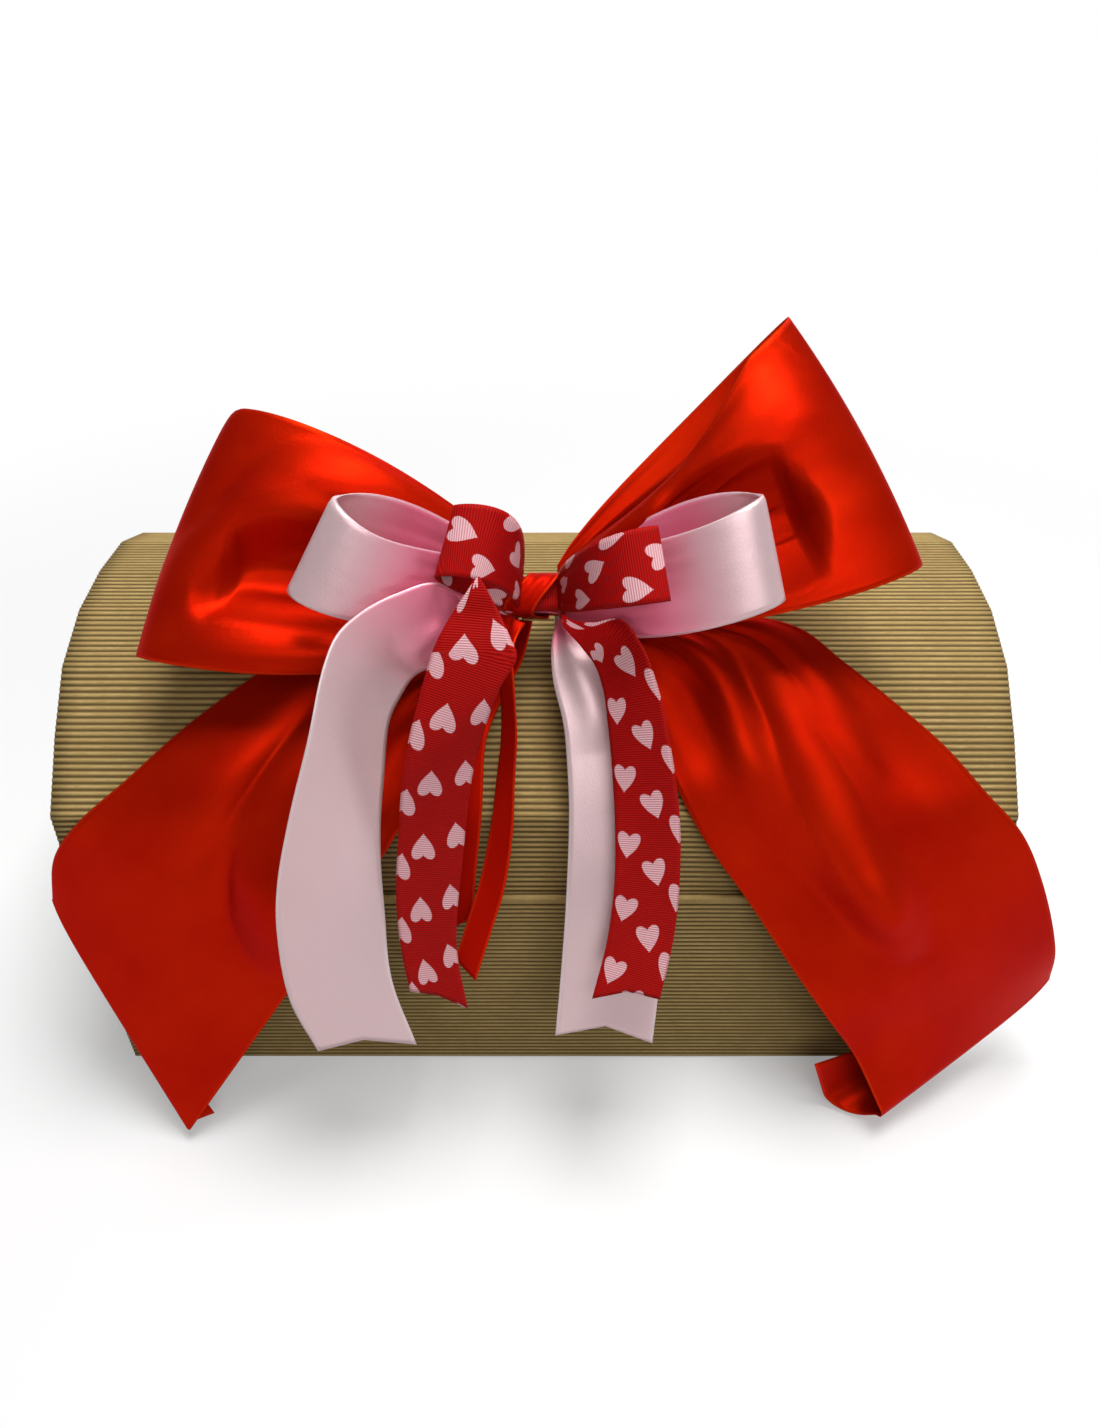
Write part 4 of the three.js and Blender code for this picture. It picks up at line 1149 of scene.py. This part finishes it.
def heart_finish(name, spots, points_up=False):
    """Ribbed grosgrain with hearts at spots of (across, along, turn), repeated along the ribbon.
    The print is lost in the pleats at the knot."""
    cloth = Finish(name, Specular_IOR_Level=0.2, Specular_Tint=(1, 0.25, 0.15, 1))
    uv = cloth.place("UV")
    across, along, _ = cloth.parts(uv)
    x, y = across * 10, along * 10
    wobble = cloth.noise(uv, 6, 2, 0.5) - 0.5
    printed = None
    for centre, start, turn in spots:
        local_y = y.math("WRAP", y - start, HEART_REPEAT / 2, -HEART_REPEAT / 2)
        local_x = x - centre
        cos, sin = math.cos(math.radians(turn)), math.sin(math.radians(turn))
        u = (local_x * cos + local_y * sin) / (HEART_WIDTH / 2) + wobble * 0.05
        v = (local_y * cos - local_x * sin) / (HEART_HEIGHT / 2) * (1 if points_up else -1) + 0.16
        lobe = v * 1.12 - (u.absolute() ** 0.72) * 0.92
        inside = (u * u + lobe * lobe).below(1, 0.10)
        printed = inside if printed is None else printed.math("MAXIMUM", printed, inside)
    ribs = y.math("SINE", y * (2 * math.pi / RIB)) * 0.5 + 0.5
    threads = cloth.noise(cloth.stretched(uv, (60, 14, 1)), 1, 2, 0.6)
    cloudy = cloth.noise(uv, 0.8, 3, 0.5)
    coloured = cloth.blend(ribs * 0.75 + cloudy * 0.25, HEART_RED_DEEP, HEART_RED)
    if spots:
        pink = cloth.blend(ribs * 0.8, HEART_PINK_DEEP, HEART_PINK)
        coloured = cloth.blend(printed * along.above(PRINT_START / 10, 0.3), coloured, pink)
    edge = (x / HEARTS - 0.5).absolute()
    bound = edge.above(0.5 - 0.7 / HEARTS, 0.3 / HEARTS)
    cloth.give(Base_Color=cloth.blend(bound * 0.25, coloured, HEART_EDGE))
    cloth.give(Roughness=threads * 0.12 + 0.46)
    cloth.relief((ribs, 0.55, 0.00022), (bound, 0.3, 0.0001), (threads, 0.3, 0.00006))
    return cloth.material


heart_cloth = {
    "left": heart_finish("heart grosgrain, left", HEART_SPOTS["left"], True),
    "right": heart_finish("heart grosgrain, right", HEART_SPOTS["right"]),
    "gathered": heart_finish("heart grosgrain, gathered", HEART_SPOTS["gathered"]),
    "left loop": heart_finish("heart grosgrain, left loop", HEART_SPOTS["left loop"], True),
}

HEART_LOOPS = {
    "left": {
        "end": (-31, 14, 43), "lean": 15.5, "tip": 0, "hollow": 17, "rear": 0.2, "open": -14,
        "dip": (-3,), "pleat": 0.6,
    },
    "right": {
        "end": (41, 5, 54), "lean": -9.7, "tip": 0, "hollow": 15, "rear": 0.15, "open": 0,
        "pleat": 0.6,
    },
}
HEART_TAILS = {
    "left": [
        [
            (-9, -5.5, 5), (-10.5, -8.5, 14), (-14, -9, 28), (-18, -5.5, 40), (-20.5, 0.8, 46.5),
            (-24, -4, 46.5), (-29, -11, 44.5), (-34, -20, 44), (-37, -28, 42.5), (-46, -60, 33),
            (-50, -88, 20), (-52, -112, 11), (-51, -132, 4), (-48.5, -148, -1),
        ],
        [
            (-8.6, -4.5, 5), (-9.6, -7, 14), (-13, -7, 28), (-17, -4.2, 40), (-19.3, 1.4, 46.5),
            (-16.2, -4, 47.5), (-12.6, -11, 46.5), (-9, -19, 46.5), (-7, -25, 46), (-13, -36, 43),
            (-22, -61, 30), (-27, -93, 17), (-30.5, -130, 4), (-27, -155, -3),
        ],
    ],
    "right": [
        [
            (8, -6.5, 6), (8.6, -12, 14), (15, -20, 20), (20, -27, 22), (23, -36, 22), (24.5, -47, 21),
            (26, -61, 18), (27.5, -84, 14), (27.5, -105, 10), (25, -128, 5), (19.6, -150, 2),
        ],
        [
            (9, -5.6, 6), (11.5, -9.8, 14), (19, -11.6, 21), (28.5, -10.8, 27), (35.6, -19.8, 31),
            (41, -34, 32), (45, -50, 29), (49.6, -76, 22), (51, -99, 15), (49.6, -124, 9),
            (44.6, -149.5, 5),
        ],
    ],
}
HEART_NOTCH = {"left": 2, "right": 3}

for side in ("left", "right"):
    rows = loop_cloth(HEART_LOOPS[side], HEARTS, LAYER, ROOT_GAP, 0.4, 0, 96, 14)
    loop_print = heart_cloth["left loop" if side == "left" else "right"]
    woven(
        f"heart_loop_{side}", rows, HEARTS, loop_print, f"heart_ribbon_loop_{side}",
    )
    rows = tail_cloth(*HEART_TAILS[side], 150, 14, notch=HEART_NOTCH[side])
    woven(
        f"heart_tail_{side}", rows, HEARTS, heart_cloth[side], f"heart_ribbon_tail_{side}",
    )

gathered_neck("heart_neck", LAYER, heart_cloth["gathered"], "heart_ribbon_gather", 7)

# Tie: a narrow red satin ribbon, 10 mm wide, passed round all three necks and pulled tight.
# Its two ends hang down behind the hearts, one longer than the other and cut on a slant.
TIE = 10
TIE_TAILS = {
    "front": (3, [
        (-9.5, -8.8, 10, 1), (-11.6, -13, 11, 0.95), (-13, -21, 13, 0.75), (-11.5, -35, 13, 0.55),
        (-11, -52, 9, 0.6), (-12.4, -69, 6, 0.7), (-13.8, -86, 4, 0.85), (-17.4, -107, 1, 0.98),
        (-22.6, -124, -2, 1), (-28, -141, -5, 1),
    ]),
    "rear": (-3, [
        (-5, -8.8, -2, 0.5), (-6, -13, -4, 0.5), (-10, -22, -8, 0.8), (-17, -33, -8, 1),
        (-22, -44, -5, 1), (-25, -54, -2, 1), (-26.5, -80, -2, 1), (-29, -104, -7, 1),
        (-31, -125, -12, 1),
    ]),
}
tie_satin = satin_finish(
    "tie satin",
    colour=(0.46, 0.008, 0.001, 1),
    deep=(0.32, 0.003, 0.001, 1),
    glow=(1, 0.06, 0.005, 1),
    width=TIE,
    shine=0.35,
    rough=0.42,
)


def tie_turn():
    """The tie's turn round the necks, drawn in a rounded square that leans across the front."""
    half_y, low, high = 7.9, -13.4, 11.5
    steps = 96
    rows = []
    for i in range(steps + 1):
        angle = 2 * math.pi * i / steps
        square = (abs(math.cos(angle)) ** 5 + abs(math.sin(angle)) ** 5) ** -0.2
        y = math.cos(angle) * half_y * square
        front = max(math.sin(angle), 0)
        z = (low + high) / 2 + math.sin(angle) * (high - low) / 2 * square + 2.4 * front**3
        slant = (6.5 * y / half_y - 3.5) * (0.15 + 0.85 * front**0.6)
        spread = 1 + 0.22 * front
        across = [TIE * (j / 8 - 0.5) * spread for j in range(9)]
        rows.append([(slant + x, y, z + 0.35 * math.cos(j * 1.57)) for j, x in enumerate(across)])
    return np.array(rows)


woven("tie_turn", tie_turn(), TIE, tie_satin, "tie_wrap")
for place, (slant, stations) in TIE_TAILS.items():
    left, right = edges_of(TIE, stations, turned=True)
    rows = tail_cloth(left, right, 96, 8, slant=slant)
    node = f"tie_strand_{place}"
    woven(f"tie_end_{place}", rows, TIE, tie_satin, node)

# Wire: bare soft steel, 1.2 mm, bent behind the knot and pushed through two holes in the lid.
# Its ends lie flat inside, and they hold the bow to the box.
steel = Finish("soft steel wire", Metallic=1, Specular_IOR_Level=0.5)
drawn = steel.noise(steel.stretched(steel.place(), (1, 1, 0.2)), 1800, 2, 0.6)
steel.give(Base_Color=steel.blend(drawn, (0.48, 0.48, 0.47, 1), (0.68, 0.68, 0.67, 1)))
steel.give(Roughness=drawn * 0.15 + 0.22)
steel.relief((drawn, 0.3, 0.00003))
dress("bow_wire", steel.material)

# Floor, lamps and background: a plain white table in soft studio light. The table fades to
# white away from the box, and what it throws back on the box is darker than it looks.
FLOOR_REACH = 14.0
FLOOR_DROP = -0.0004
TABLE_SEEN = (0.86, 0.86, 0.86, 1)
TABLE_LIT = (0.42, 0.42, 0.42, 1)

corners = [(x * FLOOR_REACH, y * FLOOR_REACH, FLOOR_DROP) for x, y in ((-1, -1), (1, -1), (1, 1), (-1, 1))]
floor_mesh = bpy.data.meshes.new("floor")
floor_mesh.from_pydata(corners, [], [(0, 1, 2, 3)])
floor = link(bpy.data.objects.new("floor", floor_mesh))
white = Finish("white table", Roughness=0.9, Specular_IOR_Level=0.1)
seen, mirrored, through = (
    white.node("ShaderNodeLightPath", output=f"Is {kind} Ray")
    for kind in ("Camera", "Glossy", "Transmission")
)
shown = seen.math("MAXIMUM", seen, mirrored.math("MAXIMUM", mirrored, through))
from_middle = white.node("ShaderNodeVectorMath", {"operation": "LENGTH"}, {0: white.place()}, "Value")
pale = shown * (white.ramp(from_middle, 0.22, 0.75) * 0.75 + 0.25)
white.give(Base_Color=white.blend(shown, TABLE_LIT, TABLE_SEEN))
table = Amount(white, white.shader.outputs[0])
glow = white.node("ShaderNodeEmission", {}, {"Color": (1, 1, 1, 1), "Strength": 1})
surface = white.node("ShaderNodeMixShader", {}, {0: pale, 1: table, 2: glow})
white.tree.links.new(surface.socket, white.tree.nodes["Material Output"].inputs["Surface"])
floor_mesh.materials.append(white.material)


def softbox(name, place, target, size, power):
    """A rectangular lamp that points at a spot."""
    data = bpy.data.lights.new(name, "AREA")
    data.shape = "RECTANGLE"
    data.size, data.size_y = size
    data.energy = power
    lamp = link(bpy.data.objects.new(name, data))
    lamp.location = place
    aim = Vector(target) - Vector(place)
    lamp.rotation_euler = aim.to_track_quat("-Z", "Y").to_euler()


softbox("overhead", (0.15, -0.05, 1.3), (0, -0.03, 0.15), (0.7, 0.5), 16.5)
softbox("back", (0.3, 1.1, 0.9), (0, 0, 0.15), (0.9, 0.5), 4)
softbox("front", (0.25, -1.2, 1.1), (0, -0.05, 0.15), (0.9, 0.6), 8)

world = bpy.data.worlds.new("studio")
bpy.context.scene.world = world
world.use_nodes = True
sky = world.node_tree
back = sky.nodes["Background"]
back.inputs["Color"].default_value = (1, 1, 1, 1)
back.inputs["Strength"].default_value = 0.13
bright = sky.nodes.new("ShaderNodeBackground")
bright.inputs["Color"].default_value = (1, 1, 1, 1)
bright.inputs["Strength"].default_value = 1
either = sky.nodes.new("ShaderNodeMixShader")
path = sky.nodes.new("ShaderNodeLightPath")
sky.links.new(path.outputs["Is Camera Ray"], either.inputs[0])
sky.links.new(back.outputs[0], either.inputs[1])
sky.links.new(bright.outputs[0], either.inputs[2])
sky.links.new(either.outputs[0], sky.nodes["World Output"].inputs["Surface"])
bpy.context.scene.view_settings.view_transform = "Standard"
